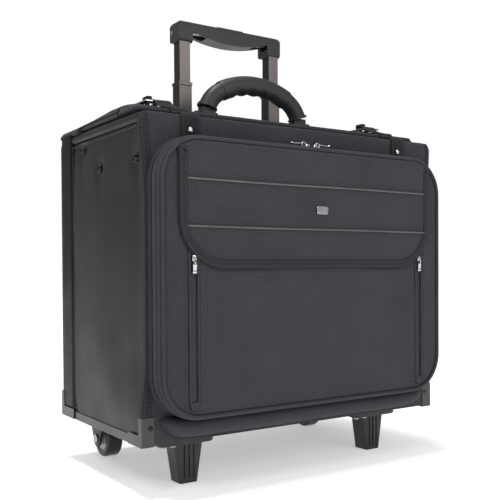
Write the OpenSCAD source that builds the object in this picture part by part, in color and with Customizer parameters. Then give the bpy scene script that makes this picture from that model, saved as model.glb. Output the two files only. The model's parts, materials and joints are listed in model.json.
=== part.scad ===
// Pilot rolling flight case: a box body with a front organiser pocket, a telescopic
// pull handle, an arched carry handle, two wheels and two feet.
// The origin is on the floor under the middle of the whole case, +Z up, -Y the pocket side.

/* [Body] */
// Width of the case body
body_w = 457; // [440:1:480]
// Depth of the case body
body_d = 249; // [240:1:270]
// Height of the case body walls
body_h = 377; // [365:1:400]
// Height of the body's underside above the floor
floor_gap = 60; // [58:1:66]
// Thickness of a covered board panel
panel_t = 6; // [4:0.5:7]
// Height of the shadow gap under the lid
lid_gap = 4.5; // [3:0.5:6]
// Thickness of the lid
lid_t = 6; // [5:0.5:8]

/* [Pocket] */
// Half width of the front pocket
pocket_half_w = 217.5; // [205:0.5:219]
// Height of the pocket's lower edge above the body's underside
pocket_low = 29; // [25:1:45]
// Height of the pocket's upper edge above the body's underside
pocket_high = 349; // [335:1:350]
// Depth of the pocket from the body to its front face
pocket_d = 28; // [24:1:30]
// Corner radius of the pocket
pocket_r = 50; // [40:1:55]
// Height of the flap's lower edge above the body's underside
flap_low = 200; // [180:1:220]

/* [Pull handle] */
// Distance of each tube from the middle
tube_x = 76; // [70:1:80]
// Height of the middle tube's top above the body's underside, as it rests
mid_top = 458; // [450:1:470]
// Height of the grip's top above the body's underside, as it rests
grip_top = 547; // [540:1:560]

/* [Wheels and feet] */
// Radius of a wheel
wheel_r = 26; // [24:0.5:28]
// Width of a tyre
tyre_w = 22; // [18:1:24]
// Distance of each wheel from the middle
wheel_x = 175; // [170:1:185]

/* [Hidden] */

$fn = 64;
// colours
cloth = "#3e3f42";
vinyl = "#363738";
plastic = "#2b2c2e";
tube_grey = "#7f7876";
bracket_brown = "#4f4845";
metal = "#b9b9bb";
lining = "#55575b";

// body planes
front_stack = 33.8;
back_stack = 2.6;
body_cy = (front_stack - back_stack) / 2;
half_w = body_w / 2;
front_y = body_cy - body_d / 2;
back_y = body_cy + body_d / 2;
base_z = floor_gap;
wall_top = base_z + body_h;
lid_z = wall_top + lid_gap;
lid_top = lid_z + lid_t;
lid_half_w = half_w - 7.5;
shoulder_r = 12;
rim_r = 6.5;
side_x = half_w - 2;
side_top = wall_top - 2 * rim_r;
inner_x = side_x - panel_t;
// length of a corner protector's foot strip at the front and at the rear
front_strip = 35;
rear_strip = 43;
// radial clearance of every turning pin
running_gap = 0.06;

// top mechanism
ledge_back = front_y + 21;
lid_front = ledge_back + 2.5;
deck_front = front_y + 77;
flap_back = deck_front - 1;
hump_h = 12;
hump_start = lid_front + 8;
hump_end = front_y + 75;
strap_x = 165;
strap_w = 24;
strap_t = 2;
pad_in = 150;
pad_out = 206;
lock_x = 176;
lock_y = front_y + 86.5;
lock_base_h = 14;
lock_base_top = lid_top + lock_base_h;
hasp_z = lock_base_top + 0.5;
knob_stem_r = 3;

// carry handle
handle_y = body_cy - 14;
handle_x = 78;
pivot_z = lid_top + 13.5;
corner_arc_r = 42;
top_arc_r = 120;
join_a = asin((handle_x - corner_arc_r) / (top_arc_r - corner_arc_r));
top_arc_z = pivot_z - (top_arc_r - corner_arc_r) * cos(join_a);
sleeve_r = 12;
grip_r = 13.5;
collar_a = 18;
hinge_pin_r = 3;

// pull handle
trolley_y = body_cy + 53.5;
outer_s = 23.5;
outer_wall = 1.5;
mid_s = 20;
mid_wall = 1.1;
inner_s = 17;
inner_wall = 1;
bracket_h = 18;
mid_top_z = base_z + mid_top;
mid_len = 360;
grip_z1 = base_z + grip_top;
block_z0 = grip_z1 - 30;
inner_bottom = 237;
block_in = 64;
block_out = 87;
block_r = 8;
// plane past every side of the grip
grip_past = 100;
grip_y0 = trolley_y - 11;
grip_y1 = trolley_y + 15.5;
bar_z0 = grip_z1 - 24;
bar_rise = 10;
bar_arc_r = (block_in * block_in + bar_rise * bar_rise) / (2 * bar_rise);
split_z = grip_z1 - 10;
button_w = 44;
button_d = 16;

// wheels and feet
wheel_y = body_cy + 94;
axle_r = 4;
hub_r = 17;
foot_x = 150;
foot_y = body_cy - 78;
flange_t = 8;
flange_z = base_z - flange_t;
foot_screw_r = 2.5;
foot_screw_spots = [for (x = [-43, -29], y = [-25, 25]) [x, y]];
// mounting plate of a wheel housing, forward and back of the axle
plate_front = 30;
plate_back = 26;

// pocket
pocket_z0 = base_z + pocket_low;
pocket_z1 = base_z + pocket_high;
pocket_y = front_y - pocket_d;
gusset_t = 3;
fit_gap = 0.3;
piping_w = 5;
flap_z0 = base_z + flap_low;
flap_half_w = 195;
flap_t = 3.5;
flap_y = pocket_y - fit_gap;
side_zip_x = 177;
side_zip_top = base_z + 207;
slider_z = pocket_z1 + 0.1;
zip_y = pocket_y + 22;
zip_w = 4;

module box(low, high) {
    translate(low) cube(high - low);
}

// an outline given as [x, z], swept from y0 to y1
module along_y(y0, y1) {
    translate([0, y1, 0]) rotate([90, 0, 0]) linear_extrude(y1 - y0) children();
}

// an outline given as [y, z], swept from x0 to x1
module along_x(x0, x1) {
    translate([x0, 0, 0]) rotate([90, 0, 90]) linear_extrude(x1 - x0) children();
}

module both_sides() {
    children();
    mirror([1, 0, 0]) children();
}

// rounded rectangle from low to high with its own top and bottom radius
module round_rect(low, high, top_r, low_r) {
    w = high[0] - low[0];
    translate([low[0], low[1] + low_r]) square([w, high[1] - low[1] - low_r - top_r]);
    translate([low[0] + low_r, low[1]]) square([w - 2 * low_r, low_r + 1]);
    translate([low[0] + top_r, high[1] - top_r - 1]) square([w - 2 * top_r, top_r + 1]);
    for (x = [low[0] + low_r, high[0] - low_r]) translate([x, low[1] + low_r]) circle(low_r);
    for (x = [low[0] + top_r, high[0] - top_r]) translate([x, high[1] - top_r]) circle(top_r);
}

// flat-bottomed outline with rounded upper corners
module shoulder_rect(half, z0, z1, r) {
    translate([-half, z0]) square([2 * half, z1 - z0 - r]);
    translate([r - half, z0]) square([2 * (half - r), z1 - z0]);
    for (x = [r - half, half - r]) translate([x, z1 - r]) circle(r);
}

module pocket_outline(inset) {
    round_rect([inset - pocket_half_w, pocket_z0 + inset], [pocket_half_w - inset, pocket_z1 - inset],
        pocket_r - inset, pocket_r - inset);
}

module dome(r, h) {
    intersection() {
        translate([0, 0, h - (r * r + h * h) / (2 * h)]) sphere((r * r + h * h) / (2 * h));
        cylinder(r = r, h = h + 1);
    }
}

// ---- body ----
module front_panel() {
    color(cloth) {
        along_y(front_y, front_y + panel_t) shoulder_rect(half_w, base_z, wall_top, shoulder_r);
        box([2 * rim_r - half_w, front_y + panel_t - 1, wall_top - panel_t],
            [half_w - 2 * rim_r, ledge_back, wall_top]);
    }
}

module back_panel() {
    color(cloth) along_y(back_y - panel_t, back_y) shoulder_rect(half_w, base_z, wall_top, shoulder_r);
}

module side_panel() {
    box([-side_x, front_y + panel_t, base_z], [-inner_x, back_y - panel_t, side_top]);
}

module left_side_panel() {
    color(vinyl) side_panel();
}

module right_side_panel() {
    color(vinyl) mirror([1, 0, 0]) side_panel();
}

module bottom_panel() {
    color(cloth) box([-inner_x, front_y + panel_t, base_z], [inner_x, back_y - panel_t, base_z + panel_t]);
}

module top_deck() {
    rear_d = 60;
    rear_r = 10;
    skirt_x = inner_x - rim_r - 1;
    skirt_h = 16;
    hole_s = outer_s + 1;
    color(cloth) difference() {
        union() {
            box([-lid_half_w, deck_front, lid_z], [lid_half_w, back_y - rear_d + 1, lid_top]);
            intersection() {
                box([-half_w, back_y - rear_d, wall_top], [half_w, back_y, lid_top]);
                along_y(back_y - rear_d, back_y) shoulder_rect(half_w, wall_top, lid_top, rear_r);
                along_x(-half_w, half_w) {
                    translate([back_y - rear_d, wall_top]) square([rear_d - rear_r, lid_top - wall_top]);
                    translate([back_y - rear_d, wall_top]) square([rear_d, 1]);
                    translate([back_y - rear_r, lid_top - rear_r]) circle(rear_r);
                }
            }
            both_sides() box([-skirt_x, deck_front + 2, lid_z - skirt_h],
                [3 - skirt_x, back_y - panel_t - 1, lid_z + 1]);
        }
        for (x = [-tube_x, tube_x]) box([x - hole_s / 2, trolley_y - hole_s / 2, wall_top - 1],
            [x + hole_s / 2, trolley_y + hole_s / 2, lid_top + 1]);
    }
}

module trolley_shroud() {
    shroud_t = 3;
    shroud_y = trolley_y - outer_s / 2 - 5;
    color(lining) box([3 - inner_x, shroud_y - shroud_t, base_z + panel_t + 0.2],
        [inner_x - 3, shroud_y, lid_z - 18]);
}

module file_divider() {
    divider_y = front_y + 84;
    color(lining) box([4 - inner_x, divider_y, base_z + panel_t + 0.2],
        [inner_x - 4, divider_y + 5, wall_top - 70]);
}

module side_rims() {
    color(vinyl) both_sides() translate([rim_r - half_w, front_y + panel_t, side_top + rim_r])
        rotate([-90, 0, 0]) cylinder(r = rim_r, h = body_d - 2 * panel_t);
}

// folded sheet corner: front leaf, side leaf, foot strip and sole
module corner_protector(length) {
    sheet = 1.2;
    leaf_w = 16;
    leaf_h = 32;
    strip_h = 12;
    side_leaf = 8;
    x0 = -half_w - sheet;
    y0 = front_y - sheet;
    box([x0, y0, base_z - sheet], [x0 + leaf_w, front_y, base_z + leaf_h]);
    box([x0, y0, base_z - sheet], [-half_w, front_y + side_leaf, base_z + leaf_h]);
    box([x0, y0, base_z - sheet], [-half_w, front_y + length, base_z + strip_h]);
    box([x0, y0, base_z - sheet], [x0 + leaf_w, front_y + length, base_z]);
}

module corner_pair(length) {
    screw_r = 3;
    both_sides() difference() {
        corner_protector(length);
        translate([10 - half_w, front_y + 1, base_z + 20]) rotate([90, 0, 0]) cylinder(r = screw_r, h = 4);
    }
}

module front_corner_protectors() {
    color(bracket_brown) corner_pair(front_strip);
}

module rear_corner_protectors() {
    color(bracket_brown) translate([0, 2 * body_cy, 0]) mirror([0, 1, 0]) corner_pair(rear_strip);
}

module corner_screws() {
    screw_r = 3;
    color(metal) for (m = [0, 1]) translate([0, m * 2 * body_cy, 0]) mirror([0, m, 0])
        both_sides() translate([10 - half_w, front_y, base_z + 20]) rotate([90, 0, 0]) {
            cylinder(r = screw_r, h = 1.4);
            translate([0, 0, 1.4]) dome(screw_r, 1.2);
        }
}

module dome_rivets() {
    rivet_r = 4.5;
    rivet_h = 1.6;
    color(metal) both_sides() {
        for (p = [[47, 353], [-7, 324], [-105, 326]]) translate([-side_x, body_cy + p[0], base_z + p[1]])
            rotate([0, -90, 0]) dome(rivet_r, rivet_h);
        translate([-strap_x, front_y - strap_t, base_z + 360]) rotate([90, 0, 0]) dome(rivet_r, rivet_h);
    }
}

module edge_strips() {
    strip_t = 1.5;
    gap = 2;
    color("#6e6f72") both_sides() difference() {
        box([-side_x - strip_t, front_y + front_strip + gap, base_z - strip_t],
            [14 - side_x, back_y - rear_strip - gap, base_z + 9]);
        box([-side_x, front_y, base_z], [20 - side_x, back_y, base_z + 10]);
    }
}

// ---- feet and wheels ----
// a leg that widens upwards from its sole, under a flange that is screwed on beside it
module foot() {
    sole_half = 12;
    top_half = 20.5;
    depth_half = 12.5;
    flange_low = [-50, -34];
    flange_high = [25, 34];
    difference() {
        union() {
            along_y(-depth_half, depth_half) polygon([[-sole_half, 0], [sole_half, 0], [top_half, flange_z],
                [-top_half, flange_z]]);
            box([flange_low[0], flange_low[1], flange_z], [flange_high[0], flange_high[1], base_z]);
        }
        for (p = foot_screw_spots) translate([p[0], p[1], flange_z - 1])
            cylinder(r = foot_screw_r, h = flange_t + 2);
    }
}

module left_foot() {
    color(plastic) translate([-foot_x, foot_y, 0]) foot();
}

module right_foot() {
    color(plastic) translate([foot_x, foot_y, 0]) foot();
}

module foot_screws() {
    head_h = 2;
    head_r = 4.2;
    color(metal) for (x = [-foot_x, foot_x], p = foot_screw_spots)
        translate([x + p[0], foot_y + p[1], flange_z]) {
            cylinder(r = foot_screw_r, h = flange_t);
            translate([0, 0, -head_h]) cylinder(r = head_r, h = head_h);
        }
}

module wheel_cheek(x0, x1) {
    top = base_z - wheel_r;
    eye_r = 11;
    along_x(x0, x1) translate([wheel_y, wheel_r]) difference() {
        union() {
            polygon([[3 - plate_front, top], [plate_back, top], [eye_r, 0], [-eye_r, 0]]);
            circle(eye_r);
        }
        circle(axle_r);
    }
}

module wheel_housing() {
    plate_t = 4;
    cheek_t = 3.5;
    gap = 3;
    out = wheel_x + tyre_w / 2 + gap;
    inn = wheel_x - tyre_w / 2 - gap;
    wheel_cheek(-out - cheek_t, -out);
    wheel_cheek(-inn, cheek_t - inn);
    box([-out - cheek_t, wheel_y - plate_front, base_z - plate_t],
        [cheek_t - inn, wheel_y + plate_back, base_z]);
}

module left_wheel_housing() {
    color(plastic) wheel_housing();
}

module right_wheel_housing() {
    color(plastic) mirror([1, 0, 0]) wheel_housing();
}

module axles() {
    reach = tyre_w / 2 + 6.5;
    head_r = 6;
    head_h = 2;
    color(metal) both_sides() translate([-wheel_x, wheel_y, wheel_r]) rotate([0, 90, 0]) {
        translate([0, 0, -reach]) cylinder(r = axle_r, h = 2 * reach);
        for (z = [-reach - head_h, reach]) translate([0, 0, z]) cylinder(r = head_r, h = head_h);
    }
}

module hub(side) {
    hub_w = tyre_w + 2;
    boss_r = 8;
    recess = 2;
    translate([side * wheel_x - hub_w / 2, wheel_y, wheel_r]) rotate([0, 90, 0]) difference() {
        union() {
            translate([0, 0, recess]) cylinder(r = hub_r, h = hub_w - 2 * recess);
            cylinder(r = boss_r, h = hub_w);
        }
        translate([0, 0, -1]) cylinder(r = axle_r + running_gap, h = hub_w + 2);
    }
}

module left_hub() {
    color("#9a9a9c") hub(-1);
}

module right_hub() {
    color("#9a9a9c") hub(1);
}

module tyre(side) {
    edge = 4;
    half = tyre_w / 2;
    translate([side * wheel_x, wheel_y, wheel_r]) rotate([0, 90, 0]) rotate_extrude() {
        translate([hub_r, -half]) square([wheel_r - hub_r - edge, tyre_w]);
        translate([hub_r, edge - half]) square([wheel_r - hub_r, tyre_w - 2 * edge]);
        for (z = [edge - half, half - edge]) translate([wheel_r - edge, z]) circle(edge);
    }
}

module left_tyre() {
    color("#1d1d1f") tyre(-1);
}

module right_tyre() {
    color("#1d1d1f") tyre(1);
}

// ---- pull handle ----
module square_tube(s, wall, z0, z1) {
    in = s - 2 * wall;
    for (x = [-tube_x, tube_x]) translate([x, trolley_y, z0]) difference() {
        translate([-s / 2, -s / 2, 0]) cube([s, s, z1 - z0]);
        translate([-in / 2, -in / 2, -1]) cube([in, in, z1 - z0 + 2]);
    }
}

module square_ring(s, hole, z0, z1) {
    square_tube(s, (s - hole) / 2, z0, z1);
}

module outer_tubes() {
    color(tube_grey) square_tube(outer_s, outer_wall, base_z + panel_t + bracket_h, lid_z - 1);
}

module tube_base_bracket() {
    half = tube_x + 24;
    half_d = 16;
    socket = 19;
    z0 = base_z + panel_t;
    color(plastic) difference() {
        box([-half, trolley_y - half_d, z0], [half, trolley_y + half_d, z0 + bracket_h]);
        for (x = [-tube_x, tube_x]) translate([x - socket / 2, trolley_y - socket / 2, z0 + 4])
            cube([socket, socket, bracket_h]);
    }
}

module deck_bezels() {
    color(plastic) square_ring(32, mid_s + 0.5, lid_top, lid_top + 3);
}

module mid_tubes() {
    color(tube_grey) square_tube(mid_s, mid_wall, mid_top_z - mid_len, mid_top_z - 2);
}

module mid_collars() {
    color(plastic) square_ring(mid_s + 1.6, inner_s + 0.4, mid_top_z - 2, mid_top_z + 3);
}

module inner_tubes() {
    color(tube_grey) square_tube(inner_s, inner_wall, inner_bottom, block_z0 + 6);
}

module tube_plugs() {
    color(plastic) square_ring(inner_s + 0.4, 6, inner_bottom - 12, inner_bottom);
}

module grip_outline() {
    translate([-block_in - 0.5, bar_z0]) intersection() {
        translate([block_in + 0.5, bar_arc_r]) circle(bar_arc_r, $fn = 256);
        square([2 * block_in + 1, grip_z1 - bar_z0]);
    }
    for (m = [0, 1]) mirror([m, 0]) translate([block_in, block_z0]) {
        square([block_out - block_in, grip_z1 - block_z0 - block_r]);
        square([block_out - block_in - block_r, grip_z1 - block_z0]);
        translate([block_out - block_in - block_r, grip_z1 - block_z0 - block_r]) circle(block_r);
    }
}

module grip_solid() {
    lip = 5;
    intersection() {
        along_y(grip_y0, grip_y1) grip_outline();
        along_x(-block_out, block_out)
            round_rect([grip_y0, block_z0], [grip_y1, grip_z1], block_r, lip);
    }
}

module grip_cavity() {
    half = block_out - 4;
    half_d = 8.5;
    box([-half, trolley_y - half_d, bar_z0 + 4], [half, trolley_y + half_d, grip_z1 - 3]);
    for (x = [-tube_x, tube_x]) box([x - inner_s / 2, trolley_y - inner_s / 2, block_z0 - 1],
        [x + inner_s / 2, trolley_y + inner_s / 2, bar_z0 + 5]);
}

module grip_screw_holes(r) {
    both_sides() translate([1 - block_out, trolley_y + 10, block_z0 + 15]) rotate([0, -90, 0])
        cylinder(r = r, h = 3);
}

module grip_lower_shell() {
    color(plastic) difference() {
        grip_solid();
        grip_cavity();
        grip_screw_holes(3);
        box([-grip_past, grip_y0 - 1, split_z], [grip_past, grip_y1 + 1, grip_z1 + 1]);
    }
}

module grip_upper_shell() {
    color(plastic) difference() {
        intersection() {
            grip_solid();
            box([-grip_past, grip_y0 - 1, split_z], [grip_past, grip_y1 + 1, grip_z1 + 1]);
        }
        grip_cavity();
        box([-button_w / 2 - 0.3, trolley_y - button_d / 2 - 0.3, split_z - 1],
            [button_w / 2 + 0.3, trolley_y + button_d / 2 + 0.3, grip_z1 + 1]);
    }
}

module grip_screws() {
    color(metal) both_sides() translate([1 - block_out, trolley_y + 10, block_z0 + 15]) rotate([0, -90, 0])
        cylinder(r = 3, h = 1.5);
}

module release_button() {
    color("#232426") box([-button_w / 2, trolley_y - button_d / 2, grip_z1 - 12],
        [button_w / 2, trolley_y + button_d / 2, grip_z1]);
}

module release_yoke() {
    rod_r = 2;
    yoke_z = grip_z1 - 15;
    color(metal) {
        box([-tube_x - 4, trolley_y - 4, yoke_z], [tube_x + 4, trolley_y + 4, grip_z1 - 12]);
        for (x = [-tube_x, tube_x]) translate([x, trolley_y, inner_bottom + 10])
            cylinder(r = rod_r, h = yoke_z - inner_bottom - 10);
    }
}

module button_spring() {
    z0 = bar_z0 + 4;
    color(metal) translate([0, trolley_y, z0]) difference() {
        cylinder(r = 4, h = grip_z1 - 15 - z0);
        translate([0, 0, -1]) cylinder(r = 3, h = 20);
    }
}

// ---- lid, straps and locks ----
module front_flap() {
    edge_r = 3;
    color(cloth) along_x(-lid_half_w, lid_half_w) {
        translate([lid_front + edge_r, lid_z]) square([flap_back - lid_front - edge_r, lid_t]);
        translate([lid_front, lid_z]) square([edge_r + 1, lid_t - edge_r]);
        translate([lid_front + edge_r, lid_top - edge_r]) circle(edge_r);
    }
}

module strap_pads() {
    color(cloth) both_sides() along_x(-pad_out, -pad_in)
        polygon([[hump_start, lid_top], [hump_end, lid_top], [hump_end, lid_top + hump_h]]);
}

module straps() {
    color(vinyl) both_sides() along_x(-strap_x - strap_w / 2, strap_w / 2 - strap_x) polygon([
        [lid_front + 3, lid_top], [hump_start, lid_top], [hump_end, lid_top + hump_h],
        [hump_end, lid_top + hump_h + strap_t], [hump_start, lid_top + strap_t],
        [lid_front + 3, lid_top + strap_t]]);
}

module strap_anchors() {
    x0 = -strap_x - strap_w / 2;
    low = base_z + 350;
    color(vinyl) both_sides() {
        box([x0, front_y - strap_t, low], [x0 + strap_w, front_y, wall_top + strap_t]);
        box([x0, front_y - 1, wall_top], [x0 + strap_w, ledge_back - 3, wall_top + strap_t]);
    }
}

module hasp_plates() {
    plate_t = 2;
    slot_half = 5.6;
    slot_front = 11.2;
    slot_back = 17;
    color(metal) both_sides() difference() {
        box([-lock_x - 14, front_y + 62, hasp_z], [12 - lock_x, front_y + 110, hasp_z + plate_t]);
        box([-lock_x - slot_half, lock_y - slot_front, hasp_z - 1],
            [slot_half - lock_x, lock_y + slot_back, hasp_z + plate_t + 1]);
    }
}

module lock_bases() {
    color(cloth) both_sides() difference() {
        box([-pad_out, deck_front, lid_top], [-pad_in, front_y + 108, lock_base_top]);
        translate([-lock_x, lock_y, lid_top + 2]) cylinder(r = knob_stem_r + running_gap, h = 20);
    }
}

module lock_knob(side) {
    head_z = hasp_z + 3.5;
    head_w = 8;
    head_l = 17;
    head_t = 7;
    translate([side * lock_x, lock_y, 0]) {
        translate([0, 0, lid_top + 3]) cylinder(r = knob_stem_r, h = head_z - lid_top - 2);
        translate([0, 0, head_z]) linear_extrude(head_t) {
            translate([-head_w / 2, head_w / 2 - head_l / 2]) square([head_w, head_l - head_w]);
            for (y = [-1, 1]) translate([0, y * (head_l - head_w) / 2]) circle(head_w / 2);
        }
    }
}

module left_lock_knob() {
    color(metal) lock_knob(-1);
}

module right_lock_knob() {
    color(metal) lock_knob(1);
}

// ---- carry handle ----
module handle_brackets() {
    cheek_t = 4;
    cheek_r = 8;
    gap = 12.2;
    color(plastic) both_sides() for (s = [-1, 1]) {
        x0 = handle_x + s * gap + (s < 0 ? -cheek_t : 0);
        along_x(x0, x0 + cheek_t) difference() {
            union() {
                translate([handle_y - cheek_r, lid_top]) square([2 * cheek_r, pivot_z - lid_top]);
                translate([handle_y, pivot_z]) circle(cheek_r);
            }
            translate([handle_y, pivot_z]) circle(hinge_pin_r);
        }
    }
}

module handle_pins() {
    reach = 16.2;
    color(metal) both_sides() translate([handle_x - reach, handle_y, pivot_z]) rotate([0, 90, 0])
        cylinder(r = hinge_pin_r, h = 2 * reach);
}

module arc_rod(r, path_r, a0, a1) {
    rotate([90, 0, 0]) rotate([0, 0, a0]) rotate_extrude(angle = a1 - a0) translate([path_r, 0]) circle(r);
}

module handle_frame() {
    tongue_r = 7.5;
    tongue_half = 12;
    collar_r = 14;
    shank_half_d = 7;
    lift = corner_arc_r * sin(collar_a);
    color(plastic) both_sides() difference() {
        union() {
            translate([handle_x - tongue_half, handle_y, pivot_z]) rotate([0, 90, 0])
                cylinder(r = tongue_r, h = 2 * tongue_half);
            box([handle_x - tongue_half, handle_y - shank_half_d, pivot_z],
                [handle_x + 8, handle_y + shank_half_d, pivot_z + lift]);
            translate([handle_x - corner_arc_r, handle_y, pivot_z]) {
                arc_rod(collar_r, corner_arc_r, collar_a, collar_a + 4);
                arc_rod(sleeve_r, corner_arc_r, collar_a, 90 - join_a);
            }
        }
        translate([handle_x - 20, handle_y, pivot_z]) rotate([0, 90, 0])
            cylinder(r = hinge_pin_r + running_gap, h = 40);
    }
}

module handle_grip() {
    color(plastic) translate([0, handle_y, top_arc_z]) arc_rod(grip_r, top_arc_r, 90 - join_a, 90 + join_a);
}

// ---- front pocket ----
// closed band of the pocket's outline, swept from y0 to y1
module pocket_band(y0, y1, outer, inner) {
    along_y(y0, y1) difference() {
        pocket_outline(outer);
        pocket_outline(inner);
    }
}

module pocket_gusset() {
    color(cloth) pocket_band(zip_y + zip_w / 2, front_y, 0, gusset_t);
}

module pocket_zip() {
    color("#1c1c1e") pocket_band(zip_y - zip_w / 2, zip_y + zip_w / 2, 0.5, gusset_t - 0.5);
}

module pocket_panel() {
    color(cloth) {
        along_y(pocket_y, pocket_y + gusset_t) pocket_outline(piping_w);
        pocket_band(pocket_y + gusset_t, zip_y - zip_w / 2 - fit_gap, 0, gusset_t);
        pocket_band(pocket_y + gusset_t, pocket_y + gusset_t + 2, 0, piping_w + 2);
    }
}

module pocket_piping() {
    color(vinyl) pocket_band(pocket_y - 2, pocket_y + gusset_t, 0, piping_w);
}

module pocket_flap() {
    flap_r = 45;
    top_r = 40;
    color(cloth) along_y(flap_y - flap_t, flap_y)
        round_rect([-flap_half_w, flap_z0], [flap_half_w, pocket_z1 - piping_w - 2], top_r, flap_r);
}

module flap_stripes() {
    stripe_t = 1.2;
    stripe_half = 188;
    color("#6b6463") for (z = [300, 247]) translate([0, flap_y - flap_t, base_z + z])
        box([-stripe_half, -stripe_t, -stripe_t], [stripe_half, 0, stripe_t]);
}

module badge() {
    color(metal) translate([5, flap_y - flap_t, base_z + 271]) rotate([90, 0, 0]) linear_extrude(2)
        round_rect([-9, -5], [9, 5], 3, 3);
}

// slider body and pull bar lying outward from it
module top_slider(side) {
    x0 = 1.5;
    body_l = 9;
    pull_l = 32;
    body_h = 7;
    pull_t = 1.6;
    meet_x = 8;
    color(metal) translate([meet_x, zip_y, slider_z]) mirror([side < 0 ? 1 : 0, 0, 0]) {
        box([x0, -4, 0], [x0 + body_l, 4, body_h]);
        box([x0 + 3.5, -2.5, body_h], [pull_l, 2.5, body_h + pull_t]);
    }
}

module left_top_slider() {
    top_slider(-1);
}

module right_top_slider() {
    top_slider(1);
}

module side_slider(side) {
    body_h = 9;
    pull_l = 20;
    body_y = -3.2;
    pull_y = -4.6;
    color(metal) translate([side * side_zip_x, pocket_y, side_zip_top - 2]) {
        box([-4, body_y, -body_h], [4, -0.2, 0]);
        box([-2, pull_y, -pull_l], [2, body_y, -3]);
    }
}

module left_side_slider() {
    side_slider(-1);
}

module right_side_slider() {
    side_slider(1);
}

front_panel();
back_panel();
left_side_panel();
right_side_panel();
bottom_panel();
top_deck();
trolley_shroud();
file_divider();
side_rims();
front_corner_protectors();
rear_corner_protectors();
corner_screws();
dome_rivets();
edge_strips();
left_foot();
right_foot();
foot_screws();
left_wheel_housing();
right_wheel_housing();
axles();
outer_tubes();
tube_base_bracket();
deck_bezels();
handle_brackets();
lock_bases();
strap_anchors();
pocket_gusset();
pocket_zip();
front_flap();
strap_pads();
straps();
hasp_plates();
left_lock_knob();
right_lock_knob();
handle_frame();
handle_grip();
handle_pins();
mid_tubes();
mid_collars();
inner_tubes();
tube_plugs();
grip_lower_shell();
grip_upper_shell();
grip_screws();
release_button();
release_yoke();
button_spring();
left_tyre();
right_tyre();
left_hub();
right_hub();
pocket_panel();
pocket_piping();
pocket_flap();
flap_stripes();
badge();
left_top_slider();
right_top_slider();
left_side_slider();
right_side_slider();
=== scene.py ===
import json
import math

import bmesh
import bpy
import numpy as np
from mathutils import Matrix, Vector


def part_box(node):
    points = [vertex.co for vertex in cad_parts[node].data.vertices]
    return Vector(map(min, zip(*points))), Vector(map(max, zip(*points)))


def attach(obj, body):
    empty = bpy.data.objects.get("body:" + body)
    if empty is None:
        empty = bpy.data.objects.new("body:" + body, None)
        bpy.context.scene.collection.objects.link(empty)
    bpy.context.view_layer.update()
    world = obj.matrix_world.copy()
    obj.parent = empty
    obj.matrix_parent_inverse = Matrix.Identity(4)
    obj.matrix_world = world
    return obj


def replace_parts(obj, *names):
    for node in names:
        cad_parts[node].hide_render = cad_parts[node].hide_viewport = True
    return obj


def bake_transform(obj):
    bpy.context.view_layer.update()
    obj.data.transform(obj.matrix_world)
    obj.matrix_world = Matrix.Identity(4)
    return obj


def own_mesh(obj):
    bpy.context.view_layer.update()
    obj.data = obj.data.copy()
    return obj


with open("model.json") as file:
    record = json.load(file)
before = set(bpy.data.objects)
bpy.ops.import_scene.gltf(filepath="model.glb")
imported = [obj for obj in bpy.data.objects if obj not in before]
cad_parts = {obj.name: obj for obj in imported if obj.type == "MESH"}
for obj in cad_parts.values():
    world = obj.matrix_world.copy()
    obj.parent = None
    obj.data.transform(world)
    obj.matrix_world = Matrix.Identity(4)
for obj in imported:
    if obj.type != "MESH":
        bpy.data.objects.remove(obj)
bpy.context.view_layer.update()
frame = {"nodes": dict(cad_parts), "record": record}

bodyOfNode = {n: b for b, group in frame["record"]["behaviour"]["bodies"].items() for n in group}


def boxOf(node):  # a CAD node's lowest and highest corner, in mm
    low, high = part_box(node)
    return np.array(low) * 1000, np.array(high) * 1000


# planes taken from the frame, in mm
panelLow, panelHigh = boxOf("front_panel")
halfW, frontY, baseZ, wallTop = panelHigh[0], panelLow[1], panelLow[2], panelHigh[2]
backY = boxOf("back_panel")[1][1]
sideLow, sideHigh = boxOf("left_side_panel")
lidLow, lidHigh = boxOf("front_flap")
pocketLow, pocketHigh = boxOf("pocket_piping")
flapLow, flapHigh = boxOf("pocket_flap")
zipLow, zipHigh = boxOf("pocket_zip")
pocketFace = boxOf("pocket_panel")[0][1]  # the pocket sheet's front plane
pocketDepth = frontY - pocketFace


# materials
def toLinear(hexColour):  # "#rrggbb" in sRGB to linear red, green, blue, 1
    parts = [int(hexColour[i:i + 2], 16) / 255 for i in (1, 3, 5)]
    return [p / 12.92 if p <= 0.04045 else ((p + 0.055) / 1.055) ** 2.4 for p in parts] + [1]


def addNode(tree, kind, settings=None, links=None):  # one node with its settings, and what feeds its sockets
    node = tree.nodes.new("ShaderNode" + kind)
    for key, value in (settings or {}).items():
        if isinstance(key, str) and key in node.bl_rna.properties:
            setattr(node, key, value)
        else:
            node.inputs[key].default_value = value
    for key, socket in (links or {}).items():
        tree.links.new(socket, node.inputs[key])
    return node


def startMaterial(name, roughness, metallic=0.0, sheen=0.0, coat=0.0, ior=1.5, specular=0.5):
    # one Principled shader with its uniform values set on its own sockets
    material = bpy.data.materials.new(name)
    material.use_nodes = True
    tree = material.node_tree
    shader = tree.nodes["Principled BSDF"]
    shader.inputs["Roughness"].default_value = roughness
    shader.inputs["Metallic"].default_value = metallic
    shader.inputs["Sheen Weight"].default_value = sheen
    shader.inputs["Sheen Roughness"].default_value = 0.5
    shader.inputs["Coat Weight"].default_value = coat
    shader.inputs["Coat Roughness"].default_value = 0.35
    shader.inputs["IOR"].default_value = ior
    shader.inputs["Specular IOR Level"].default_value = specular
    return material, tree, shader


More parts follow.
